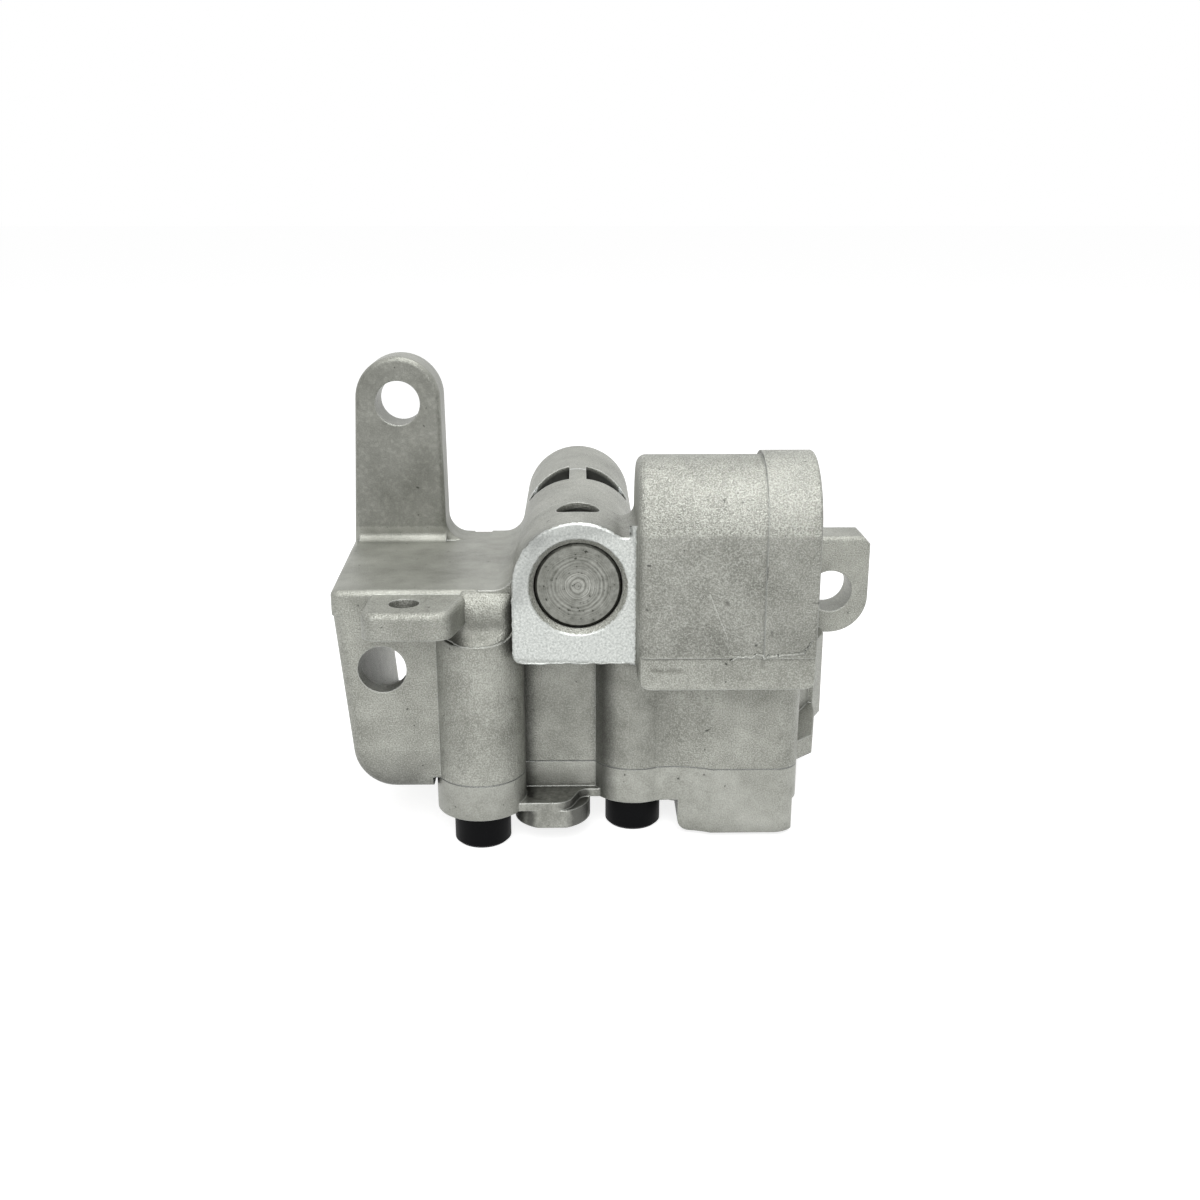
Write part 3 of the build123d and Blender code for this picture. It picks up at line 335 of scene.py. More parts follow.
def blasted_layers(tree, pattern, coarse, light):
    """The skin's layers, each a share and a tone."""
    soft = add(tree, "ShaderNodeMath", {"operation": "MULTIPLY_ADD"},
               {0: pattern["stains"].outputs[0], 1: 0.5, 2: pattern["clouds"].outputs[0]})
    skin = add(tree, "ShaderNodeMapRange",
               inputs={"Value": soft.outputs[0], "From Min": 0.4, "From Max": 1.1})
    dent = add(tree, "ShaderNodeMapRange",
               inputs={"Value": pattern["grain"].outputs[0], "From Min": 0.36, "From Max": 0.64,
                       "To Min": -0.5, "To Max": 0.5})
    dent_light = add(tree, "ShaderNodeMath", {"operation": "MULTIPLY"}, {0: dent.outputs[0], 1: coarse})
    # painted highlight on the lit side of each dent, painted shade on its dark side
    up = add(tree, "ShaderNodeMath", {"operation": "MULTIPLY", "use_clamp": True},
             {0: dent_light.outputs[0], 1: DENT_LIGHT_SHARE})
    down = add(tree, "ShaderNodeMath", {"operation": "MULTIPLY", "use_clamp": True},
               {0: dent_light.outputs[0], 1: -DENT_LIGHT_SHARE})
    pore = add(tree, "ShaderNodeMapRange",
               inputs={"Value": pattern["pores"].outputs[0], "From Min": 0.25, "From Max": 0.2,
                       "To Max": 0.75})
    return [
        (skin.outputs[0], paint(light)),
        (up.outputs[0], paint("#dddfd8")),
        (down.outputs[0], paint("#393934")),
        (pore.outputs[0], paint("#2e2e2a")),
    ]


print("blasted skin ready")

# %% [markdown]
# The recipe stacks everything: skin, zones, dirt and painted shade in corners, milled
# faces, rubbed edges, chips and last the marks. Much of the zones' darkening is painted
# shade, and some marks are painted highlights or painted shade. A mark is a line with a
# width, a tone and a share. Each layer lies over the one before it, so the order matters.
# The same grain also dents the surface, deep on the coarse skin and hardly at all on a
# milled face. Depths are in mm. Oxide and pores dull the metal, so the skin is only 0.6
# metallic.

# %% The casting's finish
METAL_SHARE, RUBBED_SHARE = 0.6, 0.42
FLAT_DEPTH, DENT_DEPTH = 0.02, 0.16
SKIN_ROUGHNESS, MILLED_ROUGHNESS = 0.42, 0.34


def cast_aluminium(name, dark, light, zones, marks, milled_boxes):
    """Blasted casting with zones of tone, fine marks and milled faces."""
    material, tree, shader = new_material(name)
    place = add(tree, "ShaderNodeTexCoord").outputs["Object"]
    pattern = {}
    for kind, (size, detail, roughness) in PATTERNS.items():
        pattern[kind] = add(tree, "ShaderNodeTexNoise",
                            inputs={"Vector": place, "Scale": 1 / (size * MM), "Detail": detail,
                                    "Roughness": roughness})
    ragged = shaken(tree, place, pattern["shake"], RAGGED_REACH)
    nearly = shaken(tree, place, pattern["shake"], NEARLY_REACH)
    rounded, edge, corner_dirt_and_shade = edges_and_corners(tree)
    darker, coarse = add_zones(tree, place, ragged, zones)
    milled, bright, chip = mill_faces(tree, ragged, pattern, edge, milled_boxes)
    rubbed = add(tree, "ShaderNodeMath", {"operation": "MULTIPLY"}, {0: edge, 1: RUBBED_SHARE})

    layers = blasted_layers(tree, pattern, coarse, light) + [
        # darkening of the zones, much of it painted shade, then dirt and painted shade in corners
        (darker, paint("#20201d")),
        (corner_dirt_and_shade, paint("#26261f")),
        (milled, bright),
        (rubbed.outputs[0], paint("#e4e7e2")),
        (chip, paint("#62645f")),
    ]
    for start, end, width, tone, share in marks:
        mask = near_line(tree, nearly, start, end, width)
        mask = add(tree, "ShaderNodeMath", {"operation": "MULTIPLY"}, {0: mask, 1: share})
        layers.append((mask.outputs[0], paint(tone)))
    colour = paint(dark)
    for share, tone in layers:
        colour = add(tree, "ShaderNodeMix", {"data_type": "RGBA"},
                     {0: share, 6: colour, 7: tone}).outputs[2]

    # Coarseness is 1 on the plain skin, 0 where the grain is gone and at most 2.
    bare = add(tree, "ShaderNodeMath", {"operation": "SUBTRACT"}, {0: 1.0, 1: milled})
    depth = add(tree, "ShaderNodeMath", {"operation": "MULTIPLY"}, {0: coarse, 1: bare.outputs[0]})
    depth = add(tree, "ShaderNodeMapRange",
                inputs={"Value": depth.outputs[0], "From Max": 2.0, "To Min": FLAT_DEPTH * MM,
                        "To Max": 2 * DENT_DEPTH * MM})
    bump = add(tree, "ShaderNodeBump",
               inputs={"Height": pattern["grain"].outputs[0], "Distance": depth.outputs[0],
                       "Normal": rounded})
    rough = add(tree, "ShaderNodeMapRange",
                inputs={"Value": milled, "To Min": SKIN_ROUGHNESS, "To Max": MILLED_ROUGHNESS})
    tree.links.new(colour, shader.inputs["Base Color"])
    tree.links.new(rough.outputs[0], shader.inputs["Roughness"])
    tree.links.new(bump.outputs[0], shader.inputs["Normal"])
    shader.inputs["Metallic"].default_value = METAL_SHARE
    return material


print("casting recipe ready")

# %% [markdown]
# The tall lug and the table beside it are the smooth side of the die and a little darker.
# The front of the lug is painted in shade, most on its lower half. The scoop over the
# front column and the wall between the columns are hollows, painted in shade, with creases
# of painted shade on both sides. On the suction arch the front under the curve is painted
# darker than the curve, as shade. The foot of the left housing, and on the cover the floor
# behind the wavy lip and the wall above it, are painted in shade as well. The joint between
# cover and housing holds a thread of old oil.

# %% Zones of the housing and the cover
# Low corner, high corner and feather in mm, then how much darker and how much smoother.
joint_thread = ((-46.8, -60.0, joint_z - 0.2), (60.0, 60.0, joint_z + 0.14), 0.08, 0.95, 0.0)
# The two creases beside the wall between the columns are painted shade.
left_crease_shade = ((-33.0, -24.0, 4.0), (-28.8, -12.0, 36.0), 1.9, 0.60, 0.0)
right_crease_shade = ((-19.3, -24.0, 4.0), (-14.4, -12.0, 36.0), 2.3, 0.50, 0.0)
body_zones = [
    ((-68.0, 8.0, 50.0), (-44.0, 8.9, 84.0), 0.5, 0.38, 0.0),  # painted shade on the front of the tall lug
    ((-68.0, 8.0, 46.0), (-44.0, 8.9, 67.0), 9.0, 0.18, 0.0),  # painted shade, softly, on its lower half
    ((-68.0, -26.5, 44.0), (-33.0, 18.0, 84.0), 2.0, 0.08, 0.75),  # lug and table
    ((-46.0, -30.0, 37.5), (-32.6, -25.0, 42.5), 1.0, 0.20, 0.3),  # painted shade in the scoop over the column
    ((-31.5, -22.0, 12.6), (-18.5, -17.5, 36.0), 1.0, 0.10, 0.3),  # painted shade on the wall between the columns
    ((-11.3, -35.0, 37.9), (18.6, -28.0, 58.9), 0.5, 0.21, -0.1),  # painted shade on the front of the arch
    ((-11.3, -35.0, 58.7), (18.6, 12.0, 84.0), 0.5, -0.05, -0.5),  # curve of the arch, coarser; its darkening below zero stands for painted light
    ((9.3, -35.0, 36.0), (9.95, -10.0, 73.0), 0.35, 0.22, 0.5),  # seam at the collar
    ((-19.0, -26.0, 12.6), (-4.0, -14.0, 36.0), 2.0, 0.14, 0.2),  # right front column
    ((-59.0, -37.5, 40.0), (-41.0, -27.0, 46.2), 0.8, 0.13, 0.0),  # front of the ear
    ((-70.0, -37.5, 8.0), (20.0, -14.0, 44.0), 4.0, 0.04, 0.0),  # whole lower front
    ((-75.0, -37.5, 0.0), (-44.5, -10.0, 18.5), 7.0, 0.55, 0.0),  # painted shade on the foot of the left housing
    left_crease_shade,
    right_crease_shade,
    joint_thread,
]
cover_zones = [
    ((-90.0, -60.0, -5.0), (60.0, 60.0, 20.0), 0.5, 0.0, 0.4),  # finer grain all over
    ((-31.0, -26.0, 0.0), (-19.0, -12.0, 8.2), 0.8, 0.72, 0.3),  # painted shade on the floor behind the wavy lip
    ((-31.0, -26.0, 7.0), (-17.0, -12.0, 12.6), 2.5, 0.15, 0.3),  # painted shade on the wall above that floor
    ((-47.0, -31.0, -1.0), (-31.0, -14.0, 13.0), 1.0, 0.09, 0.1),  # foot of the left column
    left_crease_shade,
    right_crease_shade,
    joint_thread,
]
print("zones:", len(body_zones), "on the housing,", len(cover_zones), "on the cover")

# %% [markdown]
# The arch carries most of the marks: a painted highlight on its curve and one on its
# collar, a long scratch, nicks at its collar, a few open pores, the die's parting line and
# the dirt under it. The rims of the boss are painted darker than its middle. The painted
# shade inside the valve bore is a mark too, a wide line along its axis with a share far
# over 1, so that its windows and its vent look dark.

# %% Marks on the housing
# Start and end in mm, width, tone and share.
valve_axis = middle("relief_plug") / MM
bore_front, bore_back = (valve_axis.x, -18.5, valve_axis.z), (valve_axis.x, 21.0, valve_axis.z)
scratched_y, nicked_y, parted_y = arch_front_y, arch_front_y - 0.3, arch_front_y + 0.3
body_marks = [
    (bore_front, bore_back, 10.75, "#31322e", 13.0),  # painted shade inside the valve bore
    ((-8.0, -31.0, 65.0), (10.0, -31.0, 65.0), 9.0, "#dfe1d9", 0.10),  # painted highlight on the curve
    ((13.5, -30.0, 67.0), (18.0, -30.0, 66.0), 12.0, "#e0e2da", 0.11),  # painted highlight on the collar
    ((-31.6, boss_face_y, 47.0), (-28.0, boss_face_y, 57.0), 3.0, "#6f716f", 0.4),  # boss rims, painted darker
    ((-28.0, boss_face_y, 57.0), (-15.5, boss_face_y, 59.5), 3.0, "#6f716f", 0.4),
    ((-32.4, boss_face_y, 36.2), (-14.0, boss_face_y, 35.4), 0.5, "#6f716a", 0.4),
    ((0.4, scratched_y, 49.0), (3.6, scratched_y, 41.2), 0.1, "#d4d6d0", 0.45),  # scratch
    ((0.9, scratched_y, 41.7), (-0.3, scratched_y, 39.8), 0.1, "#c8cac4", 0.3),
    ((9.8, nicked_y, 53.6), (9.6, nicked_y, 51.2), 0.28, "#3c3c38", 0.7),  # nicks at the collar
    ((10.8, nicked_y, 42.6), (10.9, nicked_y, 41.8), 0.3, "#4a4a45", 0.6),
    ((17.4, -34.0, 47.5), (18.8, -34.0, 47.4), 0.35, "#33332f", 0.8),
    ((3.2, scratched_y, 47.6), (3.4, scratched_y, 47.2), 0.55, "#4a4a44", 0.7),  # open pores
    ((-9.8, scratched_y, 53.9), (-9.4, scratched_y, 53.9), 0.25, "#1d1d1a", 0.95),
    ((-9.9, scratched_y, 46.4), (-9.8, scratched_y, 46.3), 0.25, "#2a2a26", 0.8),
    ((-8.8, parted_y, 35.7), (-7.2, parted_y, 35.5), 0.6, "#55554d", 0.55),  # dirt
    ((-6.2, parted_y, 35.6), (-4.3, parted_y, 35.5), 0.7, "#55554d", 0.5),
    ((-10.6, parted_y, 37.6), (4.5, parted_y, 37.6), 0.3, "#4e4e48", 0.55),  # parting line
]
print("marks:", len(body_marks))

# %% [markdown]
# Two faces that show are milled: the boss around the plug and the engine's mounting face.
# The cover is the same alloy from another die, a little lighter.

# %% The two castings
boss_box = ((-33.2, boss_face_y - 0.6, 35.0), (-10.2, boss_face_y + 0.24, 61.5))
rear_box = ((-70.0, mount_face_y - 0.35, 5.0), (40.0, mount_face_y + 0.5, 90.0))
body_casting = cast_aluminium("blasted cast aluminium housing", "#7a7b73", "#abaca4",
                              body_zones, body_marks, [boss_box, rear_box])
cover_casting = cast_aluminium("blasted cast aluminium cover", "#85867e", "#b0b1aa",
                               cover_zones, [], [rear_box])
print("castings:", body_casting.name, "/", cover_casting.name)

# %% [markdown]
# ## Turned steel plug
# The relief valve's plug is faced on a lathe. The tool leaves rings that are never quite
# even, about 0.3 mm apart and clearest near the centre, where the tool slows down. Noise
# along the radius alone makes such rings, and a second noise breaks them into arcs.

# %% The plug's rings
RING_SIZE, ARC_SIZE, RING_DRIFT = 0.33, 3.0, 0.8
turned_steel, tree, shader = new_material("lathe-faced steel plug")
place = add(tree, "ShaderNodeTexCoord").outputs["Object"]
centred = add(tree, "ShaderNodeMapping",
              inputs={"Vector": place, "Location": tuple(-c for c in plug_middle)})
flat = add(tree, "ShaderNodeVectorMath", {"operation": "MULTIPLY"},
           {0: centred.outputs[0], 1: (1.0, 0.0, 1.0)})
reach = add(tree, "ShaderNodeVectorMath", {"operation": "LENGTH"},
            {0: flat.outputs[0]}).outputs["Value"]
arcs = add(tree, "ShaderNodeTexNoise",
           inputs={"Vector": place, "Scale": 1 / (ARC_SIZE * MM), "Detail": 1.0})
drift = add(tree, "ShaderNodeMath", {"operation": "MULTIPLY_ADD"},
            {0: arcs.outputs[0], 1: RING_DRIFT * MM, 2: reach})
rings = add(tree, "ShaderNodeTexNoise", {"noise_dimensions": "1D"},
            {"W": drift.outputs[0], "Scale": 1 / (RING_SIZE * MM), "Detail": 2.0})
ring = add(tree, "ShaderNodeMapRange",
           inputs={"Value": rings.outputs[0], "From Min": 0.35, "From Max": 0.65})
fade = add(tree, "ShaderNodeMapRange",
           inputs={"Value": reach, "From Min": 1.0 * MM, "From Max": plug_radius,
                   "To Min": 0.7, "To Max": 0.12})
arc = add(tree, "ShaderNodeMapRange",
          inputs={"Value": arcs.outputs[0], "From Min": 0.3, "From Max": 0.7, "To Min": 0.4})
wave = add(tree, "ShaderNodeMath", {"operation": "MULTIPLY"},
           {0: ring.outputs[0], 1: fade.outputs[0]})
wave = add(tree, "ShaderNodeMath", {"operation": "MULTIPLY"},
           {0: wave.outputs[0], 1: arc.outputs[0]})
print("plug radius in mm:", round(plug_radius / MM, 2))

# %% [markdown]
# Stains lie between the rings, and a few pits go through them. The rings are grooves as
# well as tones, so they also shape the light.

# %% The plug's stains, pits and grooves
STAIN_SIZE, PIT_SIZE, GROOVE_DEPTH = 1.2, 0.6, 0.05
stain = add(tree, "ShaderNodeTexNoise",
            inputs={"Vector": place, "Scale": 1 / (STAIN_SIZE * MM), "Detail": 5.0,
                    "Roughness": 0.75})
blend = add(tree, "ShaderNodeMath", {"operation": "ADD"}, {0: wave.outputs[0], 1: stain.outputs[0]})
blend = add(tree, "ShaderNodeMapRange",
            inputs={"Value": blend.outputs[0], "From Min": 0.35, "From Max": 1.15})
pits = add(tree, "ShaderNodeTexNoise",
           inputs={"Vector": place, "Scale": 1 / (PIT_SIZE * MM), "Detail": 1.0})
pit = add(tree, "ShaderNodeMapRange",
          inputs={"Value": pits.outputs[0], "From Min": 0.3, "From Max": 0.25, "To Max": 0.7})
steel = add(tree, "ShaderNodeMix", {"data_type": "RGBA"},
            {0: blend.outputs[0], 6: paint("#5b5c56"), 7: paint("#a3a49e")}).outputs[2]
steel = add(tree, "ShaderNodeMix", {"data_type": "RGBA"},
            {0: pit.outputs[0], 6: steel, 7: paint("#1c1b18")}).outputs[2]
grooves = add(tree, "ShaderNodeBump",
              inputs={"Height": blend.outputs[0], "Distance": GROOVE_DEPTH * MM, "Strength": 0.8})
tree.links.new(steel, shader.inputs["Base Color"])
tree.links.new(grooves.outputs[0], shader.inputs["Normal"])
shader.inputs["Metallic"].default_value = 1.0
shader.inputs["Roughness"].default_value = 0.42
print("made:", turned_steel.name)

# %% [markdown]
# ## Black oxide, ground steel, sintered steel, spring steel, bronze and rubber
# The cover screws are blackened in a hot salt bath. The oxide is a deep black that swallows
# most of the shine, so its specular level is low. The pieces inside are ground, sintered,
# drawn or moulded. What those processes leave is finer than a tenth of a millimetre and
# would not show, so the patterns are drawn coarser, at 0.25 to 0.5 mm. Marks on ground
# steel are squeezed along z, so they run round the upright shaft and pins as a grinding
# wheel leaves them. The piston lies across and takes the same marks.

# %% Plain metals and rubber from one recipe
MARK_DEPTH, SHEEN_SPREAD = 0.02, 0.08


def fine_finish(name, dark, light, grain_mm, metallic, roughness, stretch=(1.0, 1.0, 1.0)):
    """A finish with one fine pattern, stretched along the way it was worked."""
    material, tree, shader = new_material(name)
    place = add(tree, "ShaderNodeTexCoord").outputs["Object"]
    drawn = add(tree, "ShaderNodeMapping", inputs={"Vector": place, "Scale": stretch})
    marks = add(tree, "ShaderNodeTexNoise",
                inputs={"Vector": drawn.outputs[0], "Scale": 1 / (grain_mm * MM), "Detail": 3.0})
    tone = add(tree, "ShaderNodeMix", {"data_type": "RGBA"},
               {0: marks.outputs[0], 6: paint(dark), 7: paint(light)})
    sheen = add(tree, "ShaderNodeMapRange",
                inputs={"Value": marks.outputs[0], "To Min": roughness - SHEEN_SPREAD,
                        "To Max": roughness + SHEEN_SPREAD})
    bump = add(tree, "ShaderNodeBump",
               inputs={"Height": marks.outputs[0], "Distance": MARK_DEPTH * MM,
                       "Strength": 0.5})
    tree.links.new(tone.outputs[2], shader.inputs["Base Color"])
    tree.links.new(sheen.outputs[0], shader.inputs["Roughness"])
    tree.links.new(bump.outputs[0], shader.inputs["Normal"])
    shader.inputs["Metallic"].default_value = metallic
    return material


black_oxide = fine_finish("black oxide on steel", "#040405", "#0c0d0f", 0.5, 0.0, 0.48)
black_oxide.node_tree.nodes["Principled BSDF"].inputs["Specular IOR Level"].default_value = 0.08
ground_steel = fine_finish("hardened and ground steel", "#a6a7a8", "#c9cacb", 0.35, 1.0, 0.25,
                           (1.0, 1.0, 6.0))
sintered_steel = fine_finish("oiled sintered steel", "#57585a", "#86878a", 0.3, 1.0, 0.38)
spring_steel = fine_finish("oil-tempered spring steel", "#3a3b3e", "#5d5e62", 0.4, 1.0, 0.35)
bronze = fine_finish("sintered bronze", "#9a7136", "#c59a55", 0.3, 1.0, 0.36)
nitrile = fine_finish("moulded black nitrile rubber", "#101112", "#1d1e20", 0.25, 0.0, 0.6)
print("finishes made")

# %% [markdown]
# Every CAD node keeps its own mesh. Only the material in its slots changes.

# %% Give each node its finish
finishes = {
    "pump_body": body_casting,
    "pump_cover": cover_casting,
    "relief_plug": turned_steel,
    "cover_screws": black_oxide,
    "cover_dowels": ground_steel,
    "drive_shaft": ground_steel,
    "drive_gear_key": ground_steel,
    "idler_pin": ground_steel,
    "relief_piston": ground_steel,
    "relief_plug_pin": ground_steel,
    "drive_gear": sintered_steel,
    "driven_gear": sintered_steel,
    "gear_snap_rings": spring_steel,
    "relief_spring": spring_steel,
    "relief_spring_shim": spring_steel,
    "drive_shaft_upper_bush": bronze,
    "drive_shaft_lower_bush": bronze,
    "driven_gear_bush": bronze,
    "suction_o_ring": nitrile,
    "outlet_o_ring": nitrile,
}
for node, material in finishes.items():
    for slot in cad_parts[node].material_slots:
        slot.material = material
print("finished nodes:", len(finishes), "of", len(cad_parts))

# %% [markdown]
# ## Torn metal
# Where the two halves of the die meet, a thin skin of metal squeezes out and is broken
# off, which leaves a torn ridge. The mill does the same at the rim of the boss. Each ridge
# starts as a line of a few corners. The line is cut into short pieces, shaken, drawn out
# to a ribbon and given a thickness, and half of it stays sunk in the casting.


# %% From a bmesh to a piece of the pump
def new_piece(name, shape, material, levels):
    """Makes a closed bmesh a piece, rounds it and lets it ride with the pump."""
    bmesh.ops.recalc_face_normals(shape, faces=shape.faces[:])
    mesh = bpy.data.meshes.new(name)
    shape.to_mesh(mesh)
    shape.free()
    for face in mesh.polygons:
        face.use_smooth = True
    piece = bpy.data.objects.new(name, mesh)
    bpy.context.scene.collection.objects.link(piece)
    rounding = piece.modifiers.new("rounding", "SUBSURF")
    rounding.levels = rounding.render_levels = levels
    mesh.materials.append(material)
    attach(piece, "pump")
    print(name, "has", len(mesh.polygons), "faces before rounding")
    return piece


def new_corners(grown):
    """The vertices among what a bmesh operator has made."""
    return [part for part in grown if isinstance(part, bmesh.types.BMVert)]


def thicken(shape, sunk):
    """Pushes a copy of all faces into the casting, so that the shape is closed."""
    pushed = bmesh.ops.extrude_face_region(shape, geom=shape.faces[:])["geom"]
    bmesh.ops.translate(shape, vec=Vector(sunk) * MM, verts=new_corners(pushed))


print("piece helpers ready")

# %% [markdown]
# The shake comes from noise at each point's own place, so a ridge is torn the same way in
# every run. It moves points along the face only, never out of it.


# %% A torn ridge along a line
def torn_ridge(name, corners, drawn, shake, sunk, cuts):
    """A ragged ribbon from a line of corners, drawn out and sunk by vectors, all in mm."""
    ridge = bmesh.new()
    points = [ridge.verts.new(Vector(corner) * MM) for corner in corners]
    for first, second in zip(points, points[1:]):
        ridge.edges.new((first, second))
    bmesh.ops.subdivide_edges(ridge, edges=ridge.edges[:], cuts=cuts)
    for point in ridge.verts:
        spot = point.co / MM
        aside = noise.noise(spot * 2.3)
        upward = noise.noise(spot * 2.9 + Vector((7.0, 0.0, 0.0)))
        point.co += Vector((aside, 0.0, upward)) * shake * MM
    ribbon = bmesh.ops.extrude_edge_only(ridge, edges=ridge.edges[:])["geom"]
    for point in new_corners(ribbon):
        point.co += Vector(drawn) * (1.0 + 0.7 * noise.noise(point.co / MM * 1.7)) * MM
    thicken(ridge, sunk)
    return new_piece(name, ridge, body_casting, 1)


print("ridge recipe ready")

# %% [markdown]
# Three places are torn: the parting line of the arch with its right end, the milled rim of
# the boss, and the rim of the hollow above the left column. The arch is torn most, and the
# other two are only rough.

# %% The ridges on the arch, the boss and the column
torn_ridge(
    "arch_parting_ridge",
    [(4.6, arch_front_y - 0.24, 38.0), (9.4, arch_front_y - 0.3, 38.5),
     (10.2, arch_front_y - 0.6, 38.6), (13.0, arch_front_y - 0.62, 38.6),
     (16.8, arch_front_y - 0.6, 39.0), (17.9, arch_front_y - 0.45, 41.4)],
    drawn=(-0.4, 0.0, -0.6), shake=0.9, sunk=(0.0, 1.0, 0.0), cuts=9)
rim_y = boss_face_y - 0.03
torn_ridge(
    "boss_rim_burr",
    [(-32.4, rim_y, 47.0), (-32.4, rim_y, 37.0), (-31.0, rim_y, 35.35), (-13.0, rim_y, 35.35)],
    drawn=(0.4, 0.0, 0.4), shake=0.22, sunk=(0.0, 0.3, 0.0), cuts=22)
torn_ridge(
    "column_rim_burr",
    [(-44.6, -27.3, 40.2), (-43.4, -28.4, 39.6), (-42.2, -29.0, 39.0), (-41.0, -29.35, 38.6),
     (-39.5, -29.6, 38.5), (-38.0, -29.6, 38.5), (-36.2, -29.22, 38.5), (-34.5, -28.42, 38.8),
     (-33.2, -27.4, 39.2)],
    drawn=(0.0, 0.25, -0.4), shake=0.2, sunk=(0.0, 0.4, 0.0), cuts=5)

# %% [markdown]
# ## The slide above the column
# Between the ear and the boss the table does not end in a wall. The die left a slide
# there, which falls from the table's rim and flattens out over the column. Its profile is
# ten points, drawn out sideways in steps, and a subdivision surface makes it smooth. It
# may not reach past the round front of the column, so points beyond that are pulled back,
# and its lower end goes on under the ear.

# %% The slide
slide = bmesh.new()
fall = [(-24.4, 47.25), (-25.4, 47.1), (-26.5, 46.3), (-27.3, 45.0), (-27.5, 43.6),
        (-27.1, 42.2), (-26.9, 40.9), (-27.6, 39.6), (-29.2, 38.7), (-30.5, 37.7)]
slide_left, slide_width, slide_steps = -41.4, 9.8, 9
ear_overlap, lower_end = 2.8, 5
rail = [slide.verts.new(Vector((slide_left, y, z)) * MM) for y, z in fall]
edges = [slide.edges.new(pair) for pair in zip(rail, rail[1:])]
for _ in range(slide_steps):
    grown = bmesh.ops.extrude_edge_only(slide, edges=edges)["geom"]
    corners = new_corners(grown)
    edges = [part for part in grown
             if isinstance(part, bmesh.types.BMEdge) and all(end in corners for end in part.verts)]
    bmesh.ops.translate(slide, vec=(slide_width / slide_steps * MM, 0.0, 0.0), verts=corners)
for corner in rail[lower_end:]:
    corner.co.x -= ear_overlap * MM
column_axis, column_reach = Vector((-38.8, -21.6)) * MM, 7.85 * MM
for corner in slide.verts:
    aside = min(abs(corner.co.x - column_axis.x), column_reach)
    front_y = column_axis.y - math.sqrt(column_reach ** 2 - aside ** 2)
    corner.co.y = max(corner.co.y, front_y)
thicken(slide, (0.0, 2.0, -0.3))
new_piece("column_slide", slide, body_casting, 2)

# %% [markdown]
# ## The relief spring
# When the relief piston moves 10 mm towards the plug, the spring between them gets shorter,
# which a CAD mesh can't do. So it is wound again here, as a mesh of its own; nothing here
# shortens it yet. A circle of wire is spun round the axis of the bore, and each step carries
# it a little further along. The two ends of the coil never meet, so the spin merges nothing.

# %% Wind the spring
WIRE_RADIUS, TURNS, STEPS_A_TURN, PISTON_WAY = 0.7 * MM, 9, 20, 10.0 * MM
spring_low, spring_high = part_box("relief_spring")
spring_middle = middle("relief_spring")
coil_steps = TURNS * STEPS_A_TURN
coil_length = spring_high[1] - spring_low[1]
coil_run = coil_length - 2 * WIRE_RADIUS
coil = bmesh.new()
bmesh.ops.create_circle(coil, cap_ends=True, segments=10, radius=WIRE_RADIUS)
start = Vector((spring_high[0] - WIRE_RADIUS, spring_low[1] + WIRE_RADIUS, spring_middle[2]))
bmesh.ops.translate(coil, vec=start, verts=coil.verts[:])
bmesh.ops.spin(coil, geom=coil.verts[:] + coil.edges[:] + coil.faces[:], cent=spring_middle,
               axis=(0, 1, 0), dvec=(0, coil_run / coil_steps, 0), angle=TURNS * math.tau,
               steps=coil_steps)
relief_coil = new_piece("relief_coil", coil, spring_steel, 1)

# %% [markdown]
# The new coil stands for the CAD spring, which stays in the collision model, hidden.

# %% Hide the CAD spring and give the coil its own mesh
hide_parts("relief_spring")
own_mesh(relief_coil)
print("spring:", round(coil_length / MM, 2), "mm long,",
      round((coil_length - PISTON_WAY) / MM, 2), "mm when the valve is open")

# %% [markdown]
# ## Floor, world, lamps and camera
# The pump stands on a white floor under a large soft box, a little behind it, so that the
# tops are bright and the fronts stay mid grey. The floor glows only for the camera and in
# reflections, so it shows as white there and still takes the pump's shadow.

# %% Floor
FLOOR_HALF, FLOOR_GLOW = 6.0, 0.8
floor_mesh = bpy.data.meshes.new("floor")
sheet = bmesh.new()
bmesh.ops.create_grid(sheet, x_segments=1, y_segments=1, size=FLOOR_HALF)
bmesh.ops.translate(sheet, vec=(0, 0, cad_low[2]), verts=sheet.verts)
sheet.to_mesh(floor_mesh)
sheet.free()
floor = bpy.data.objects.new("floor", floor_mesh)
bpy.context.scene.collection.objects.link(floor)

floor_paint = bpy.data.materials.new("white studio floor")
floor_paint.use_nodes = True
tree = floor_paint.node_tree
tree.nodes.clear()
rays = add(tree, "ShaderNodeLightPath")
seen = add(tree, "ShaderNodeMath", {"operation": "MAXIMUM"},
           {0: rays.outputs["Is Camera Ray"], 1: rays.outputs["Is Glossy Ray"]})
matt = add(tree, "ShaderNodeBsdfDiffuse", inputs={"Color": paint("#c0c0c0")})
glow = add(tree, "ShaderNodeEmission", inputs={"Color": (1, 1, 1, 1), "Strength": FLOOR_GLOW})
both = add(tree, "ShaderNodeAddShader", inputs={0: matt.outputs[0], 1: glow.outputs[0]})
pick = add(tree, "ShaderNodeMixShader",
           inputs={0: seen.outputs[0], 1: matt.outputs[0], 2: both.outputs[0]})
add(tree, "ShaderNodeOutputMaterial", inputs={"Surface": pick.outputs[0]})
floor_mesh.materials.append(floor_paint)
print("floor at z", round(cad_low[2] / MM, 2), "mm")

# %% [markdown]
# For the camera and for reflections the world is plain white. For light on the pump it is
# weaker, so that recesses stay dark.

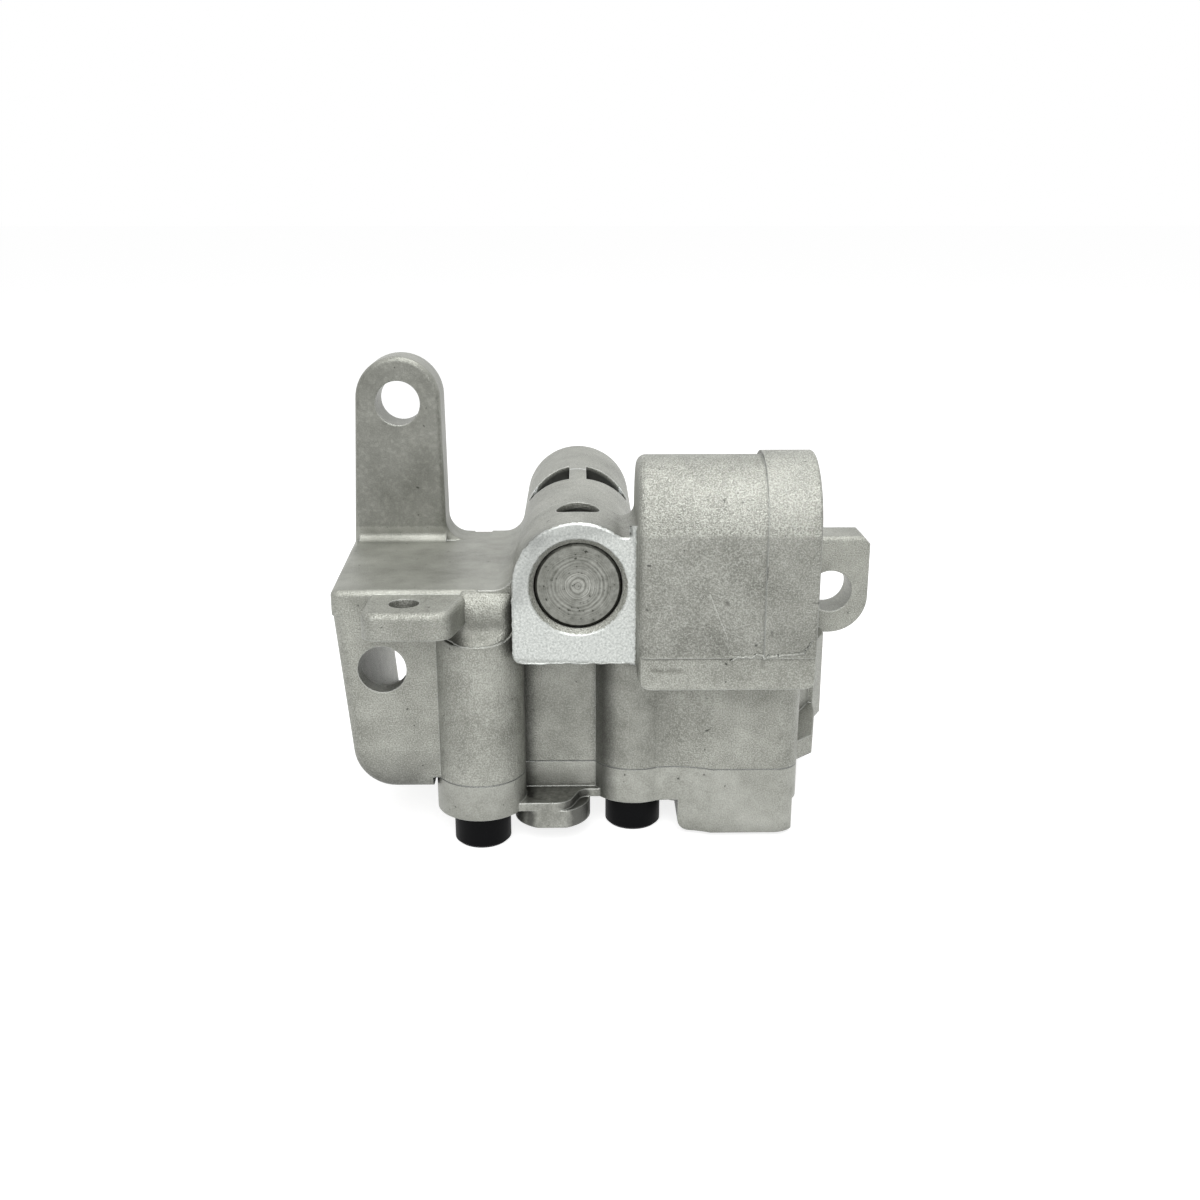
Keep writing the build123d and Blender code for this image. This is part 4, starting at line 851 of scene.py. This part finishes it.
# %% World
LIGHT_LEVEL, SEEN_LEVEL = 0.36, 1.0
world = bpy.data.worlds.new("white studio")
bpy.context.scene.world = world
world.use_nodes = True
tree = world.node_tree
tree.nodes.clear()
rays = add(tree, "ShaderNodeLightPath")
seen = add(tree, "ShaderNodeMath", {"operation": "MAXIMUM"},
           {0: rays.outputs["Is Camera Ray"], 1: rays.outputs["Is Glossy Ray"]})
through = add(tree, "ShaderNodeMath", {"operation": "MAXIMUM"},
              {0: seen.outputs[0], 1: rays.outputs["Is Transmission Ray"]})
level = add(tree, "ShaderNodeMapRange",
            inputs={"Value": through.outputs[0], "To Min": LIGHT_LEVEL, "To Max": SEEN_LEVEL})
sky = add(tree, "ShaderNodeBackground",
          inputs={"Color": (1, 1, 1, 1), "Strength": level.outputs[0]})
add(tree, "ShaderNodeOutputWorld", inputs={"Surface": sky.outputs[0]})
print("world ready")

# %% [markdown]
# The overhead box gives the bright tops, and a second box in front fills the faces that
# look towards the camera.


# %% Lamps
def soft_box(name, place, aim, size, watts):
    """A square lamp that faces a point."""
    lamp = bpy.data.lights.new(name, "AREA")
    lamp.size = size
    lamp.energy = watts
    holder = bpy.data.objects.new(name, lamp)
    bpy.context.scene.collection.objects.link(holder)
    holder.location = place
    holder.rotation_euler = (Vector(aim) - Vector(place)).to_track_quat("-Z", "Y").to_euler()
    return holder


centre = (cad_low + cad_high) / 2
lamps = [
    soft_box("overhead box", (0.05, -0.06, 0.68), centre, size=0.35, watts=2.35),
    soft_box("front box", (-0.05, -0.48, 0.42), centre, size=0.35, watts=2.4),
]
print("lamps:", [lamp.name for lamp in lamps])

# %% [markdown]
# The camera stands about 24 cm in front of the pump and looks down at it by 17 degrees.
# From so near, the perspective is strong: what is in front looks clearly larger.

# %% Camera
CAMERA_PLACE = (-20.89, -235.9, 110.66)
LOOK_DOWN, TURN = 17.2, -0.93
LENS, SENSOR = 38.7, 36.0
camera = bpy.data.objects.new("camera", bpy.data.cameras.new("camera"))
bpy.context.scene.collection.objects.link(camera)
camera.location = tuple(side * MM for side in CAMERA_PLACE)
camera.rotation_euler = (math.radians(90 - LOOK_DOWN), 0.0, math.radians(TURN))
camera.data.sensor_width = SENSOR
camera.data.lens = LENS
camera.data.clip_start = 0.01
bpy.context.scene.camera = camera
bpy.context.scene.view_settings.view_transform = "Standard"
print("camera at", [round(c, 3) for c in camera.location])
